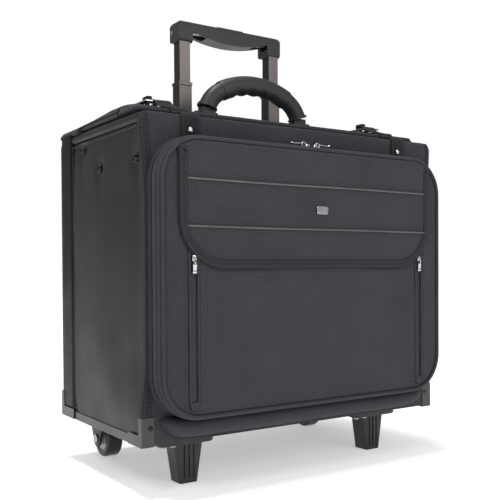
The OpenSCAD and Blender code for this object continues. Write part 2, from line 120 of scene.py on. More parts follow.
def wovenCloth(name, look):
    # plain weave: warp and weft bands trade places in a checker, each band one thread wide
    # tone = weaveTone x weave + 0.7 x slub + 0.35 x cloud, height = weave + 0.6 x slub
    material, tree, shader = startMaterial(name, look["rough"], sheen=look["sheen"], ior=1.45, specular=0.25)
    coords = addNode(tree, "TexCoord").outputs[look.get("coords", "UV")]
    warp, weft = (addNode(tree, "TexWave", {
        "wave_type": "BANDS", "bands_direction": direction, "wave_profile": "SIN",
        "Scale": 0.31416 / (look["pitch"] / 1000), "Distortion": 0.0}, {"Vector": coords}).outputs["Fac"]
        for direction in look.get("threads", "XY"))
    checks = addNode(tree, "TexChecker", {"Scale": 1000 / look["pitch"]}, {"Vector": coords})
    weave = addNode(tree, "Mix", {"data_type": "FLOAT"},
                    {0: checks.outputs["Fac"], 2: warp, 3: weft}).outputs[0]
    slub = addNode(tree, "TexNoise", {"Scale": 1000 / look["slub"], "Detail": 3.0, "Roughness": 0.6},
                   {"Vector": coords}).outputs["Fac"]
    cloud = addNode(tree, "TexNoise", {"Scale": 1000 / look["cloud"], "Detail": 2.0},
                    {"Vector": coords}).outputs["Fac"]
    broad = addNode(tree, "Math", {"operation": "MULTIPLY", 1: 0.35}, {0: cloud}).outputs[0]
    uneven = addNode(tree, "Math", {"operation": "MULTIPLY_ADD", 1: 0.7}, {0: slub, 2: broad}).outputs[0]
    tone = addNode(tree, "Math", {"operation": "MULTIPLY_ADD", 1: look["weaveTone"]}, {0: weave, 2: uneven})
    spread = addNode(tree, "MapRange", {"From Min": 0.35, "From Max": 0.95}, {"Value": tone.outputs[0]})
    colour = addNode(tree, "Mix", {"data_type": "RGBA", 6: toLinear(look["dark"]),
                                   7: toLinear(look["light"])},
                     {0: spread.outputs[0]})
    height = addNode(tree, "Math", {"operation": "MULTIPLY_ADD", 1: 0.6}, {0: slub, 2: weave})
    bump = addNode(tree, "Bump", {"Distance": look["relief"] / 1000, "Strength": 0.8},
                   {"Height": height.outputs[0]})
    tree.links.new(colour.outputs[2], shader.inputs["Base Color"])
    tree.links.new(bump.outputs["Normal"], shader.inputs["Normal"])
    return material


def grained(name, look):
    # pressed grain: cells with soft valleys between them, over a broad unevenness
    # tone = 0.5 x fine + 0.5 x cloud, height = cellShare x cells + 0.5 x fine; worn clouds are rougher
    material, tree, shader = startMaterial(name, look["rough"], metallic=look.get("metallic", 0.0),
                                           coat=look.get("coat", 0.0), ior=look.get("ior", 1.5),
                                           specular=look.get("specular", 0.5))
    coords = addNode(tree, "TexCoord").outputs["Object"]
    cells = addNode(tree, "TexVoronoi", {"feature": "SMOOTH_F1", "Scale": 1000 / look["grain"],
                                         "Smoothness": 0.6},
                    {"Vector": coords}).outputs["Distance"]
    fine = addNode(tree, "TexNoise", {"Scale": 1000 / look["fine"], "Detail": 3.0},
                   {"Vector": coords}).outputs["Fac"]
    cloud = addNode(tree, "TexNoise", {"Scale": 1000 / look["cloud"], "Detail": 2.0},
                    {"Vector": coords}).outputs["Fac"]
    tone = addNode(tree, "Mix", {"data_type": "FLOAT", 0: 0.5}, {2: fine, 3: cloud})
    spread = addNode(tree, "MapRange", {"From Min": 0.3, "From Max": 0.7}, {"Value": tone.outputs[0]})
    colour = addNode(tree, "Mix", {"data_type": "RGBA", 6: toLinear(look["dark"]),
                                   7: toLinear(look["light"])},
                     {0: spread.outputs[0]})
    wear = addNode(tree, "MapRange", {"From Min": 0.3, "From Max": 0.7, "To Min": look["rough"] - 0.06,
                                      "To Max": look["rough"] + 0.08}, {"Value": cloud})
    pits = addNode(tree, "Math", {"operation": "MULTIPLY", 1: 0.5}, {0: fine}).outputs[0]
    height = addNode(tree, "Math", {"operation": "MULTIPLY_ADD", 1: look["cellShare"]}, {0: cells, 2: pits})
    bump = addNode(tree, "Bump", {"Distance": look["relief"] / 1000, "Strength": look.get("strength", 0.7)},
                   {"Height": height.outputs[0]})
    tree.links.new(colour.outputs[2], shader.inputs["Base Color"])
    tree.links.new(wear.outputs[0], shader.inputs["Roughness"])
    tree.links.new(bump.outputs["Normal"], shader.inputs["Normal"])
    return material


def drawnMetal(name, look):
    # metal drawn through a die: streaks run along the length, long in Z and close together across it
    # colour, roughness (rough - 0.08 to rough + 0.1) and height all follow the one streak noise
    material, tree, shader = startMaterial(name, look["rough"], metallic=look["metallic"])
    coords = addNode(tree, "TexCoord").outputs["Object"]
    stretched = addNode(tree, "Mapping", {"Scale": look["stretch"]}, {"Vector": coords})
    streaks = addNode(tree, "TexNoise", {"Scale": 1000 / look["streak"], "Detail": 4.0},
                      {"Vector": stretched.outputs[0]}).outputs["Fac"]
    colour = addNode(tree, "Mix", {"data_type": "RGBA", 6: toLinear(look["dark"]),
                                   7: toLinear(look["light"])},
                     {0: streaks})
    wear = addNode(tree, "MapRange", {"To Min": look["rough"] - 0.08, "To Max": look["rough"] + 0.1},
                   {"Value": streaks})
    bump = addNode(tree, "Bump", {"Distance": look["relief"] / 1000, "Strength": 0.3}, {"Height": streaks})
    tree.links.new(colour.outputs[2], shader.inputs["Base Color"])
    tree.links.new(wear.outputs[0], shader.inputs["Roughness"])
    tree.links.new(bump.outputs["Normal"], shader.inputs["Normal"])
    return material


# ballistic polyester, 0.5 mm threads drawn at 1.9 mm so that the weave shows; matte with a faint sheen
weaveLook = {"dark": "#15161a", "light": "#404146", "pitch": 1.9, "slub": 2.6, "cloud": 60, "rough": 0.78,
             "sheen": 0.04, "relief": 0.32, "weaveTone": 0.6}
# coated nylon webbing and binding tape: tighter, darker, ribbed
tapeLook = {"dark": "#131415", "light": "#2f3033", "pitch": 1.7, "slub": 2.0, "cloud": 40, "rough": 0.7,
            "sheen": 0.04, "relief": 0.3, "weaveTone": 0.6}
liningLook = {"dark": "#2f3135", "light": "#494b50", "pitch": 0.9, "slub": 2.0, "cloud": 50, "rough": 0.75,
              "sheen": 0.1, "relief": 0.1, "weaveTone": 0.3}
flatLook = {"coords": "Object", "threads": "XZ"}  # for CAD-shaped pieces with no flow map
finishes = {
    "cloth": wovenCloth("ballisticPolyesterWoven", weaveLook),
    "clothTop": wovenCloth("ballisticPolyesterWovenTop", {**weaveLook, "coords": "Object"}),
    "tape": wovenCloth("nylonBindingTape", tapeLook),
    "webbing": wovenCloth("nylonWebbing", {**tapeLook, "dark": "#0d0e0e", "light": "#262728"}),
    "lining": wovenCloth("polyesterLiningWoven", {**liningLook, **flatLook}),
    # calendered vinyl with a pressed hair-cell grain: soft highlights that break up in the valleys
    "vinyl": grained("vinylEmbossed", {"dark": "#121315", "light": "#1f2022", "grain": 2.4, "fine": 0.9,
                                       "cloud": 70, "rough": 0.44, "cellShare": 1.0, "relief": 0.25,
                                       "specular": 0.3}),
    "vinylSmooth": grained("vinylSmoothWrap", {"dark": "#08090a", "light": "#121314", "grain": 3.0,
                                               "fine": 0.7, "cloud": 50, "rough": 0.38, "cellShare": 0.4,
                                               "relief": 0.1, "specular": 0.12}),
    # injection-moulded ABS with a spark-eroded texture: even, satin, tiny pits
    "abs": grained("absMoulded", {"dark": "#101112", "light": "#1a1b1c", "grain": 1.1, "fine": 0.6,
                                  "cloud": 45, "rough": 0.46, "cellShare": 0.5, "relief": 0.09,
                                  "ior": 1.53}),
    "gripAbs": grained("absMouldedSoftTouch", {"dark": "#202123", "light": "#2a2b2d", "grain": 1.1,
                                               "fine": 0.6, "cloud": 45, "rough": 0.5, "cellShare": 0.5,
                                               "relief": 0.08, "ior": 1.53}),
    "pvcTrim": grained("pvcExtrudedTrim", {"dark": "#3c3d40", "light": "#494a4d", "grain": 1.5, "fine": 0.8,
                                           "cloud": 40, "rough": 0.4, "cellShare": 0.2, "relief": 0.06}),
    "stripe": grained("pvcPipingPearl", {"dark": "#504d4c", "light": "#686463", "grain": 1.5, "fine": 0.8,
                                         "cloud": 30, "rough": 0.34, "cellShare": 0.2, "relief": 0.04,
                                         "metallic": 0.35}),
    # steel sheet with hammered enamel: small orange-peel dimples, brownish grey
    "hammered": grained("steelHammeredEnamel", {"dark": "#231f1d", "light": "#352f2c", "grain": 2.6,
                                                "fine": 1.2, "cloud": 20, "rough": 0.4, "cellShare": 1.0,
                                                "relief": 0.3, "coat": 0.25}),
    "rubber": grained("polyurethaneTyre", {"dark": "#0a0b0b", "light": "#121314", "grain": 1.4, "fine": 0.7,
                                           "cloud": 30, "rough": 0.38, "cellShare": 0.4, "relief": 0.05}),
    "hub": grained("nylonHubPainted", {"dark": "#85868a", "light": "#a2a3a7", "grain": 2.0, "fine": 0.8,
                                       "cloud": 30, "rough": 0.3, "cellShare": 0.2, "relief": 0.04}),
    "zipCoil": grained("nylonZipCoil", {"dark": "#0a0a0b", "light": "#161719", "grain": 1.2, "fine": 0.6,
                                        "cloud": 30, "rough": 0.45, "cellShare": 0.4, "relief": 0.04}),
    "zipTooth": grained("nylonZipTeeth", {"dark": "#2a2b2e", "light": "#3c3d41", "grain": 1.2, "fine": 0.6,
                                          "cloud": 30, "rough": 0.35, "cellShare": 0.4, "relief": 0.04}),
    "thread": grained("polyesterThread", {"dark": "#3a3b3e", "light": "#4c4d51", "grain": 0.8, "fine": 0.5,
                                          "cloud": 30, "rough": 0.6, "cellShare": 0.5, "relief": 0.05}),
    # extruded aluminium, satin anodised in warm grey: long streaks down the tube
    "tube": drawnMetal("aluminiumAnodisedSatin", {"dark": "#6e6865", "light": "#857d7a", "rough": 0.42,
                                                  "metallic": 0.8, "streak": 3.0, "stretch": (1, 1, 0.03),
                                                  "relief": 0.03}),
    # painted dark reflection: near-black metal on the tubes' sides and ends, standing for the dark
    # surroundings those faces mirror
    "tubeSideDarkReflection": drawnMetal("aluminiumPaintedDarkReflection", {"dark": "#040404", "light": "#0b0b0b", "rough": 0.4,
                                                   "metallic": 0.2, "streak": 3.0, "stretch": (1, 1, 0.03),
                                                   "relief": 0.02}),
    "nickel": drawnMetal("zincNickelPlated", {"dark": "#b9b9bb", "light": "#d2d2d4", "rough": 0.22,
                                              "metallic": 1.0, "streak": 4.0, "stretch": (1, 1, 1),
                                              "relief": 0.02}),
    "steel": drawnMetal("steelZincPlated", {"dark": "#8e8f93", "light": "#b0b1b5", "rough": 0.35,
                                            "metallic": 1.0, "streak": 4.0, "stretch": (1, 1, 1),
                                            "relief": 0.03}),
    "rivet": drawnMetal("brassRivetBlackened", {"dark": "#1c1c1e", "light": "#3c3d40", "rough": 0.28,
                                                "metallic": 0.9, "streak": 2.0, "stretch": (1, 1, 1),
                                                "relief": 0.03}),
}
print("materials made:", len(finishes))


# mesh helpers
def finishMesh(name, mesh, finish, body, replaces=(), sharp=40):
    # merges seams and poles, turns faces outwards, shades smoothly and rides the piece on its body
    shape = bmesh.new()
    shape.from_mesh(mesh)
    bmesh.ops.remove_doubles(shape, verts=shape.verts, dist=2e-6)
    bmesh.ops.dissolve_degenerate(shape, edges=shape.edges, dist=1e-7)
    bmesh.ops.recalc_face_normals(shape, faces=shape.faces)
    shape.to_mesh(mesh)
    shape.free()
    mesh.shade_smooth()
    mesh.set_sharp_from_angle(angle=math.radians(sharp))
    piece = bpy.data.objects.new(name, mesh)
    bpy.context.scene.collection.objects.link(piece)
    for one in finish if isinstance(finish, (list, tuple)) else [finish]:
        mesh.materials.append(finishes[one])
    if body:
        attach(piece, body)
    if replaces:
        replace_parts(piece, *replaces)
    return piece


def gridPiece(name, grids, finish, body, replaces=(), sharp=40, shape=None):
    # grids of rows x columns x 3 points in mm, joined in one mesh; each may close on itself
    # the flow map holds lengths along the columns and the rows, in metres, or the grid's own "uv" in mm
    points, quads, flows, start = [], [], [], 0
    for grid in grids:
        pts = np.asarray(grid["points"], float)
        rows, cols = pts.shape[:2]
        index = start + np.arange(rows * cols).reshape(rows, cols)
        rr, cc = np.meshgrid(np.arange(rows if grid.get("loopRows") else rows - 1),
                             np.arange(cols if grid.get("loopCols") else cols - 1), indexing="ij")
        r1, c1 = (rr + 1) % rows, (cc + 1) % cols
        corners = [index[rr, cc], index[rr, c1], index[r1, c1], index[r1, cc]]
        quads.append(np.stack(corners, -1).reshape(-1, 4))
        if "uv" in grid:
            uv = grid["uv"]
            flow = np.stack([uv[rr, cc], uv[rr, c1], uv[r1, c1], uv[r1, cc]], 2)
        else:
            alongC = np.linalg.norm(np.roll(pts, -1, 1) - pts, axis=2).mean(0)
            alongR = np.linalg.norm(np.roll(pts, -1, 0) - pts, axis=2).mean(1)
            u, v = np.append(0, np.cumsum(alongC)), np.append(0, np.cumsum(alongR))
            flow = np.stack([np.stack([u[cc], v[rr]], -1), np.stack([u[cc + 1], v[rr]], -1),
                             np.stack([u[cc + 1], v[rr + 1]], -1), np.stack([u[cc], v[rr + 1]], -1)], 2)
        flows.append(flow.reshape(-1, 2) / 1000)
        pts = pts if shape is None else shape(pts)
        points.append(pts.reshape(-1, 3) / 1000)
        start += rows * cols
    mesh = bpy.data.meshes.new(name)
    mesh.from_pydata(np.concatenate(points).tolist(), [], np.concatenate(quads).tolist())
    mesh.uv_layers.new(name="flow").data.foreach_set("uv", np.concatenate(flows).astype(np.float32).ravel())
    return finishMesh(name, mesh, finish, body, replaces, sharp)


def roundRect(low, high, topR, lowR, inset=0.0, side=40, corner=12):
    # outline of a rectangle with round corners, moved inwards by inset;
    # the same number of points at any inset
    x0, x1, z0, z1 = low[0] + inset, high[0] - inset, low[1] + inset, high[1] - inset
    x0, x1 = min(x0, (x0 + x1) / 2), max(x1, (x0 + x1) / 2)
    z0, z1 = min(z0, (z0 + z1) / 2), max(z1, (z0 + z1) / 2)
    top, bottom = max(topR - inset, 0), max(lowR - inset, 0)
    corners = [(x1 - bottom, z0 + bottom, bottom, -90), (x1 - top, z1 - top, top, 0),
               (x0 + top, z1 - top, top, 90), (x0 + bottom, z0 + bottom, bottom, 180)]
    arcs = []
    for cx, cz, r, a0 in corners:
        a = np.radians(a0 + np.linspace(0, 90, corner))
        arcs.append(np.stack([cx + r * np.cos(a), cz + r * np.sin(a)], -1))
    out = []
    for i in range(4):
        before, after = arcs[i - 1][-1], arcs[i][0]
        t = np.linspace(0, 1, side + 2)[1:-1, None]
        out += [before + (after - before) * t, arcs[i]]
    return np.concatenate(out)


def ringPlate(outline, layers, place, relief=None):
    # rings of one outline: layer k is the outline at inset layers[k][0], at height layers[k][1]
    # place(a, b, h) puts outline coordinates and height into x, y, z; relief(a, b, h) is added to the height
    rings = [outline(inset) for inset, height in layers]
    a = np.stack([r[:, 0] for r in rings])
    b = np.stack([r[:, 1] for r in rings])
    h = np.repeat(np.array([height for inset, height in layers], float)[:, None], a.shape[1], 1)
    edge = rings[0]
    along = np.roll(edge, -1, 0) - np.roll(edge, 1, 0)
    length = np.maximum(np.linalg.norm(along, axis=1), 1e-9)
    outwards = np.stack([along[:, 1], -along[:, 0]], -1) / length[:, None]
    # walls unrolled away from the face
    flow = np.stack([a, b], -1) + outwards[None] * (h.max() - h)[..., None]
    if relief is not None:
        h = h + relief(a, b, h)
    return {"points": np.stack(place(a, b, h), -1), "uv": flow, "loopCols": True}


def inward(first, last, count, height, power=1.0):  # layers from inset first to inset last at one height
    return [(first + (last - first) * (k / count) ** power, height) for k in range(1, count + 1)]


def sweepGrid(path, profile, up, size=None, closed=False):
    # profile points (across, out) carried along a path; across = tangent x up, out = up made square to it
    path = np.asarray(path, float)
    if closed:
        tangent = np.roll(path, -1, 0) - np.roll(path, 1, 0)
    else:
        tangent = np.gradient(path, axis=0)
    tangent /= np.linalg.norm(tangent, axis=1)[:, None]
    across = np.cross(tangent, np.broadcast_to(np.asarray(up, float), path.shape))
    across /= np.linalg.norm(across, axis=1)[:, None]
    out = np.cross(across, tangent)
    profile = np.asarray(profile, float)
    size = np.ones(len(path)) if size is None else np.asarray(size, float)
    points = (path[:, None] + size[:, None, None] * (profile[None, :, 0, None] * across[:, None]
                                                     + profile[None, :, 1, None] * out[:, None]))
    return {"points": points, "loopCols": True, "loopRows": closed}


def circleProfile(r, count=12, squash=1.0):  # r cos(a) across and squash r sin(a) out, all the way round
    a = np.linspace(0, 2 * math.pi, count, endpoint=False)
    return np.stack([r * np.cos(a), squash * r * np.sin(a)], -1)


def stripProfile(width, thick, edge=None):  # flat strip whose long edges are rounded, resting on out = 0
    edge = thick / 2 if edge is None else edge
    return roundRect((-width / 2, 0), (width / 2, thick), edge, edge, 0, 6, 3)


def roundEnds(count, reach=3):
    # 1 along a sweep, falling to 0 on a quarter circle over the first and last points
    k = np.arange(count)
    d = np.minimum(np.minimum(k, count - 1 - k) / reach, 1)
    return np.sqrt(np.clip(1 - (1 - d) ** 2, 0, 1))


def evenPath(points, step, closed=False):  # the same line with points every step mm
    points = np.asarray(points, float)
    if closed:
        points = np.concatenate([points, points[:1]])
    gaps = np.linalg.norm(np.diff(points, axis=0), axis=1)
    points, gaps = points[np.append(True, gaps > 1e-6)], gaps[gaps > 1e-6]
    along = np.append(0, np.cumsum(gaps))
    count = max(2, int(round(along[-1] / step)) + 1)
    t = np.linspace(0, along[-1], count)
    even = np.stack([np.interp(t, along, points[:, i]) for i in range(3)], -1)
    return even[:-1] if closed else even


def beadRun(path, up, length, width, height, closed=False):
    # one small capsule at every path point: an ellipsoid of rings, long along the path
    path = np.asarray(path, float)
    tangent = np.roll(path, -1, 0) - np.roll(path, 1, 0) if closed else np.gradient(path, axis=0)
    tangent /= np.linalg.norm(tangent, axis=1)[:, None]
    across = np.cross(tangent, np.broadcast_to(np.asarray(up, float), path.shape))
    across /= np.linalg.norm(across, axis=1)[:, None]
    out = np.cross(across, tangent)
    lat = np.radians(np.array([-90, -50, 0, 50, 90]))
    lon = np.linspace(0, 2 * math.pi, 6, endpoint=False)
    t = np.sin(lat)[:, None] * length / 2 + 0 * lon
    a = np.cos(lat)[:, None] * np.cos(lon) * width / 2
    o = np.cos(lat)[:, None] * np.sin(lon) * height / 2
    grids = (path[:, None, None] + t[None, ..., None] * tangent[:, None, None]
             + a[None, ..., None] * across[:, None, None] + o[None, ..., None] * out[:, None, None])
    return [{"points": g, "loopCols": True} for g in grids]


def ripple(a, b, seed, wave):  # smooth unevenness in -1..1: a sum of sines of fixed directions and phases
    rng = np.random.default_rng(seed)
    total = np.zeros_like(a)
    for i in range(6):
        angle, phase = rng.uniform(0, math.pi), rng.uniform(0, 6.28)
        k = (0.6 + 0.35 * i) * 2 * math.pi / wave
        total = total + np.sin(k * (a * math.cos(angle) + b * math.sin(angle)) + phase) / (1 + 0.6 * i)
    return total / 3


def ease(x):  # smooth step from 0 to 1
    x = np.clip(x, 0, 1)
    return x * x * (3 - 2 * x)


def mirrored(grids):  # the same grids on the other side
    return [{**g, "points": np.asarray(g["points"]) * np.array([-1, 1, 1])} for g in grids]


def finishedNode(node, finish, bevel, segments=2, angle=28, split=None, shape=None):
    # a CAD part's own shape, merged, with softened edges; split(face) picks the finish of each face
    mesh = frame["nodes"][node].data.copy()
    mesh.materials.clear()
    work = bmesh.new()
    work.from_mesh(mesh)
    bmesh.ops.remove_doubles(work, verts=work.verts, dist=1e-6)
    bmesh.ops.dissolve_limit(work, angle_limit=math.radians(1), verts=work.verts, edges=work.edges)
    if split is not None:
        for face in work.faces:
            face.material_index = split(face)
    work.to_mesh(mesh)
    work.free()
    if shape is not None:
        flat = np.zeros(len(mesh.vertices) * 3)
        mesh.vertices.foreach_get("co", flat)
        mesh.vertices.foreach_set("co", shape(flat.reshape(-1, 3) * 1000).ravel() / 1000)
    mesh.shade_smooth()
    mesh.set_sharp_from_angle(angle=math.radians(angle))
    piece = bpy.data.objects.new(node + "-finished", mesh)
    bpy.context.scene.collection.objects.link(piece)
    for one in finish if isinstance(finish, (list, tuple)) else [finish]:
        mesh.materials.append(finishes[one])
    if bevel:
        edge = piece.modifiers.new("softEdge", "BEVEL")
        edge.width, edge.segments, edge.limit_method = bevel / 1000, segments, "ANGLE"
        edge.angle_limit, edge.harden_normals = math.radians(angle), True
        edge.use_clamp_overlap = True
    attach(piece, bodyOfNode[node])
    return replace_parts(piece, node)


# the side walls stand hollow near the front
pinchShape = {"draw": 6.0, "low": 88.0, "lowRun": 75.0, "topGap": 8.0, "topRun": 95.0, "rear": 25.0,
              "rearRun": 120.0}


def pinch(points):  # x is drawn in by draw x an ease from below x one from above x one from the rear
    s = pinchShape
    x, y, z = points[..., 0], points[..., 1], points[..., 2]
    draw = s["draw"] * ease((z - s["low"]) / s["lowRun"])
    draw = draw * ease((wallTop - s["topGap"] - z) / s["topRun"]) * ease((s["rear"] - y) / s["rearRun"])
    return np.stack([x * (1 - draw / halfW), y, z], -1)


# places that put an outline's a, b and height into x, y, z
def facingFront(y0):  # height grows along -y
    return lambda a, b, h: (a, y0 - h, b)


def facingBack(y0):  # height grows along +y
    return lambda a, b, h: (a, y0 + h, b)


def facingLeft(x0):  # height grows along -x
    return lambda a, b, h: (x0 - h, a, b)


def facingUp(z0):  # height grows along +z
    return lambda a, b, h: (a, b, z0 + h)


# box: covered boards
boardShape = {"thick": 6.0, "edge": 2.2, "shoulder": 12.0, "foot": 4.0, "wave": 150.0, "swell": 0.5}


def boardLayers(thick, edge, reach, count):  # flat back, round edge, flat face, as closed layers
    turn = np.linspace(math.pi / 2, 0, 4)
    bend = [(edge * (1 - math.sin(a)), thick - edge * (1 - math.cos(a))) for a in turn]
    low = [(edge * (1 - math.sin(a)), edge * (1 - math.cos(a))) for a in np.linspace(0, math.pi / 2, 4)]
    return ([(reach, 0.0)] + low + bend + inward(edge, reach, count, thick))


def makeBoards():
    # front, back and bottom boards: a rounded outline in layers with a quarter-circle edge,
    # wavy by a few tenths
    s = boardShape

    def outline(inset):  # the board's rectangle, round at the shoulders, moved in by inset
        return roundRect((-halfW, baseZ), (halfW, wallTop), s["shoulder"], s["foot"], inset, 60, 8)

    layers = boardLayers(s["thick"], s["edge"], (wallTop - baseZ) / 2, 26)

    def face(a, b, h):
        # broad unevenness, and faint level creases above the pocket where the cloth is stretched
        creases = 0.22 * np.sin(b / 1.35 + 0.8 * np.sin(a / 60))
        creases = creases * ease((b - pocketHigh[2] - 4) / 8) * ease((430 - b) / 6)
        return np.where(h > s["thick"] - 0.1, s["swell"] * ripple(a, b, 3, s["wave"]) + creases, 0)

    front = ringPlate(outline, layers, facingFront(frontY + s["thick"]), face)
    ledgeLow, ledgeHigh = (-halfW + 8, frontY + s["thick"] - 1), (halfW - 8, frontY + 21)
    ledge = ringPlate(lambda i: roundRect(ledgeLow, ledgeHigh, 2, 2, i, 30, 4),
                      boardLayers(6, 2, 8, 3), facingUp(wallTop - 6))
    gridPiece("frontBoardCover", [front, ledge], "cloth", "case", ["front_panel"], shape=pinch)
    back = ringPlate(outline, layers, facingBack(backY - s["thick"]), face)
    gridPiece("backBoardCover", [back], "cloth", "case", ["back_panel"])
    lowX, highX, lowY, highY = -halfW + 8, halfW - 8, frontY + 6, backY - 6
    base = ringPlate(lambda i: roundRect((lowX, lowY), (highX, highY), 3, 3, i, 30, 4),
                     boardLayers(6, 1.5, (highY - lowY) / 2, 12), facingUp(baseZ))
    gridPiece("bottomBoardCover", [base], "tape", "case", ["bottom_panel"])


makeBoards()

# tape binds the front board's upright edges up to the shoulders; the left one is the wide one
bindingShape = {"wide": 11.0, "narrow": 6.0, "wrap": 5.0, "thick": 0.9, "stitch": 2.6, "gap": 4.4}


def bindingPath(side, inset):  # up one edge of the front board and round its shoulder, moved in by inset
    r = boardShape["shoulder"]
    a = np.radians(np.linspace(0, 70, 10))
    z = np.linspace(baseZ + 30, wallTop - r, 90)
    x = np.append(np.full(90, halfW - inset), halfW - r + (r - inset) * np.cos(a[1:]))
    z = np.append(z, wallTop - r + (r - inset) * np.sin(a[1:]))
    return np.stack([side * x, np.full(len(x), frontY), z], -1)


def makeBinding():
    # binding section carried up the board's edge; stitch rows lie at fixed distances in from it
    s = bindingShape
    t = s["thick"]
    for side, name, width in ((-1, "left", s["wide"]), (1, "right", s["narrow"])):
        profile = np.array([(-t, -s["wrap"]), (-t, -0.5), (-t * 0.6, t * 0.6), (0.5, t), (width - 0.6, t),
                            (width, t * 0.5), (width, -0.3), (0.2, -0.3), (0.2, -s["wrap"])])
        profile[:, 0] *= -side
        path = bindingPath(side, 0)
        gridPiece(name + "FrontBinding", [sweepGrid(path, profile, (0, -1, 0), roundEnds(len(path), 1))],
                  "tape", "case", shape=pinch)
        rows = (2.2, width - 2.2) if width > 8 else (width - 1.8,)
        beads = []
        for inset in rows:
            seam = bindingPath(side, inset) + np.array([0, -t, 0])
            beads += beadRun(evenPath(seam, s["gap"]), (0, -1, 0), s["stitch"], 0.7, 0.7)
        gridPiece(name + "FrontBindingStitches", beads, "thread", "case", shape=pinch)


makeBinding()

# vinyl side walls swell a little between their seams and are pulled in at the rivets
sideShape = {"swell": 1.5, "dimple": 2.4, "dimpleR": 12.0, "rearBand": 43.0}


def makeSides():
    # side walls, the smooth wrap round each rear corner, and their seams
    s = sideShape
    y0, y1, z0, z1 = sideLow[1], sideHigh[1], sideLow[2], sideHigh[2]
    sideX = -sideLow[0]
    rivets = [(p[1], p[2]) for p in rivetPlaces() if p[0] < 1 - halfW + 5]

    def relief(a, b, h):
        # swell x ease(distance to the edge / 40), less a bell along each seam and round each rivet,
        # and a fold below it
        top = h > 5.9
        edge = np.minimum(np.minimum(a - y0, y1 - a), np.minimum(b - z0, z1 - b))
        lift = s["swell"] * ease(edge / 40) + 0.5 * ripple(a, b, 11, 120) * ease(edge / 25)
        for seam in (b - (z1 - 5), a - (backY - s["rearBand"] - 2.5), a - (frontY + 9)):
            lift = lift - 0.6 * np.exp(-(seam / 1.8) ** 2)
        for y, z in rivets:
            d = np.hypot(a - y, b - z)
            lift = lift - s["dimple"] * np.exp(-(d / s["dimpleR"]) ** 2)
            pull = np.exp(-((a - y) / 9) ** 2) * np.exp(-np.maximum(z - b, 0) / 45) * (b < z)
            lift = lift - 1.3 * pull * ease((z - b) / 12)
        return np.where(top, lift, 0)

    outline = lambda i: roundRect((y0, z0), (y1, z1), 2, 2, i, 44, 4)
    wall = ringPlate(outline, boardLayers(6, 1.5, (y1 - y0) / 2, 34), facingLeft(6 - sideX), relief)
    for name, grids in (("left", [wall]), ("right", mirrored([wall]))):
        node = name + "_side_panel"
        gridPiece(name + "SideWall", grids, "vinyl", "case", [node], shape=pinch)
    # smooth wrap over the rear corner: a strip on the side wall that turns onto the back
    rows = np.linspace(baseZ + 14, wallTop + 2, 60)
    bend = 9.0
    turn = np.linspace(0, math.pi / 2, 8)
    strip = [(-halfW + 0.8, backY - s["rearBand"]), (-halfW - 0.2, backY - s["rearBand"] + 1.2)]
    strip += [(-halfW - 0.4, y) for y in np.linspace(backY - s["rearBand"] + 8, backY - bend, 6)]
    strip += [(-halfW + bend - 0.4 - bend * math.cos(t), backY - bend + 0.6 + bend * math.sin(t))
              for t in turn[1:]]
    strip += [(x, backY + 0.7) for x in np.linspace(-halfW + bend + 6, -halfW + 30, 4)]
    strip += [(-halfW + 30.6, backY - 0.2), (-halfW + 16, backY - 0.6), (-halfW + 10, backY - 3),
              (-halfW + 2.2, backY - 10), (-halfW + 1.6, backY - s["rearBand"] + 2)]
    strip = np.array(strip)
    wave = 0.25 * np.sin(rows / 31)[:, None] * np.ones(len(strip))
    points = np.stack([strip[None, :, 0] - wave, np.broadcast_to(strip[None, :, 1], wave.shape),
                       rows[:, None] * np.ones(len(strip))], -1)
    middle = points.mean(1, keepdims=True) * np.ones((1, len(strip), 1))
    points = np.concatenate([middle[:1], points, middle[-1:]])
    wrap = [{"points": points, "loopCols": True}]
    gridPiece("leftRearWrap", wrap, "vinylSmooth", "case")
    gridPiece("rightRearWrap", mirrored(wrap), "vinylSmooth", "case")
    beads = beadRun(evenPath([(-halfW + 27, backY + 0.9, baseZ + 20),
                              (-halfW + 27, backY + 0.9, wallTop - 4)], 5.2),
                    (0, 1, 0), 3.2, 1.0, 1.0)
    gridPiece("rearWrapStitches", beads + mirrored(beads), "thread", "case")
    # seams: along the front edge, under the rim and beside the rear wrap
    x = -halfW - 0.5
    seams = [[(x, frontY + 9, baseZ + 36), (x, frontY + 9, z1 - 4)],
             [(x + 0.6, backY - s["rearBand"] - 2.5, baseZ + 16),
              (x + 0.6, backY - s["rearBand"] - 2.5, z1 - 3)],
             [(x, frontY + 10, z1 - 5), (x, backY - s["rearBand"] - 4, z1 - 5)]]
    beads = []
    for seam in seams:
        beads += beadRun(evenPath(seam, 5.2), (-1, 0, 0), 3.2, 1.1, 1.1)
    gridPiece("leftSideStitches", beads, "thread", "case", shape=pinch)
    gridPiece("rightSideStitches", mirrored(beads), "thread", "case", shape=pinch)


def rivetPlaces():  # centre of each dome rivet: the middle of the points within 12 mm of its first one
    mesh = frame["nodes"]["dome_rivets"].data
    left = np.zeros(len(mesh.vertices) * 3)
    mesh.vertices.foreach_get("co", left)
    left = left.reshape(-1, 3) * 1000
    places = []
    while len(left):
        near = np.linalg.norm(left - left[0], axis=1) < 12
        places.append((left[near].min(0) + left[near].max(0)) / 2)
        left = left[~near]
    return places


makeSides()


def makeRims():  # padded rolls along the side walls' top, a round section that wanders slightly
    low, high = boxOf("side_rims")
    r = (high[2] - low[2]) / 2
    y = np.linspace(low[1] - 4, backY - 30, 80)
    x = low[0] + r + 0.3 * np.sin(y / 23)
    path = np.stack([x, y, np.full_like(y, low[2] + r) + 0.3 * np.sin(y / 37)], -1)
    roll = sweepGrid(path, circleProfile(r - 0.2, 20, 1.0), (0, 0, 1), roundEnds(len(path), 4))
    rims = gridPiece("sideRims", [roll] + mirrored([roll]), "vinyl", "case", ["side_rims"])


makeRims()
print("box covered")

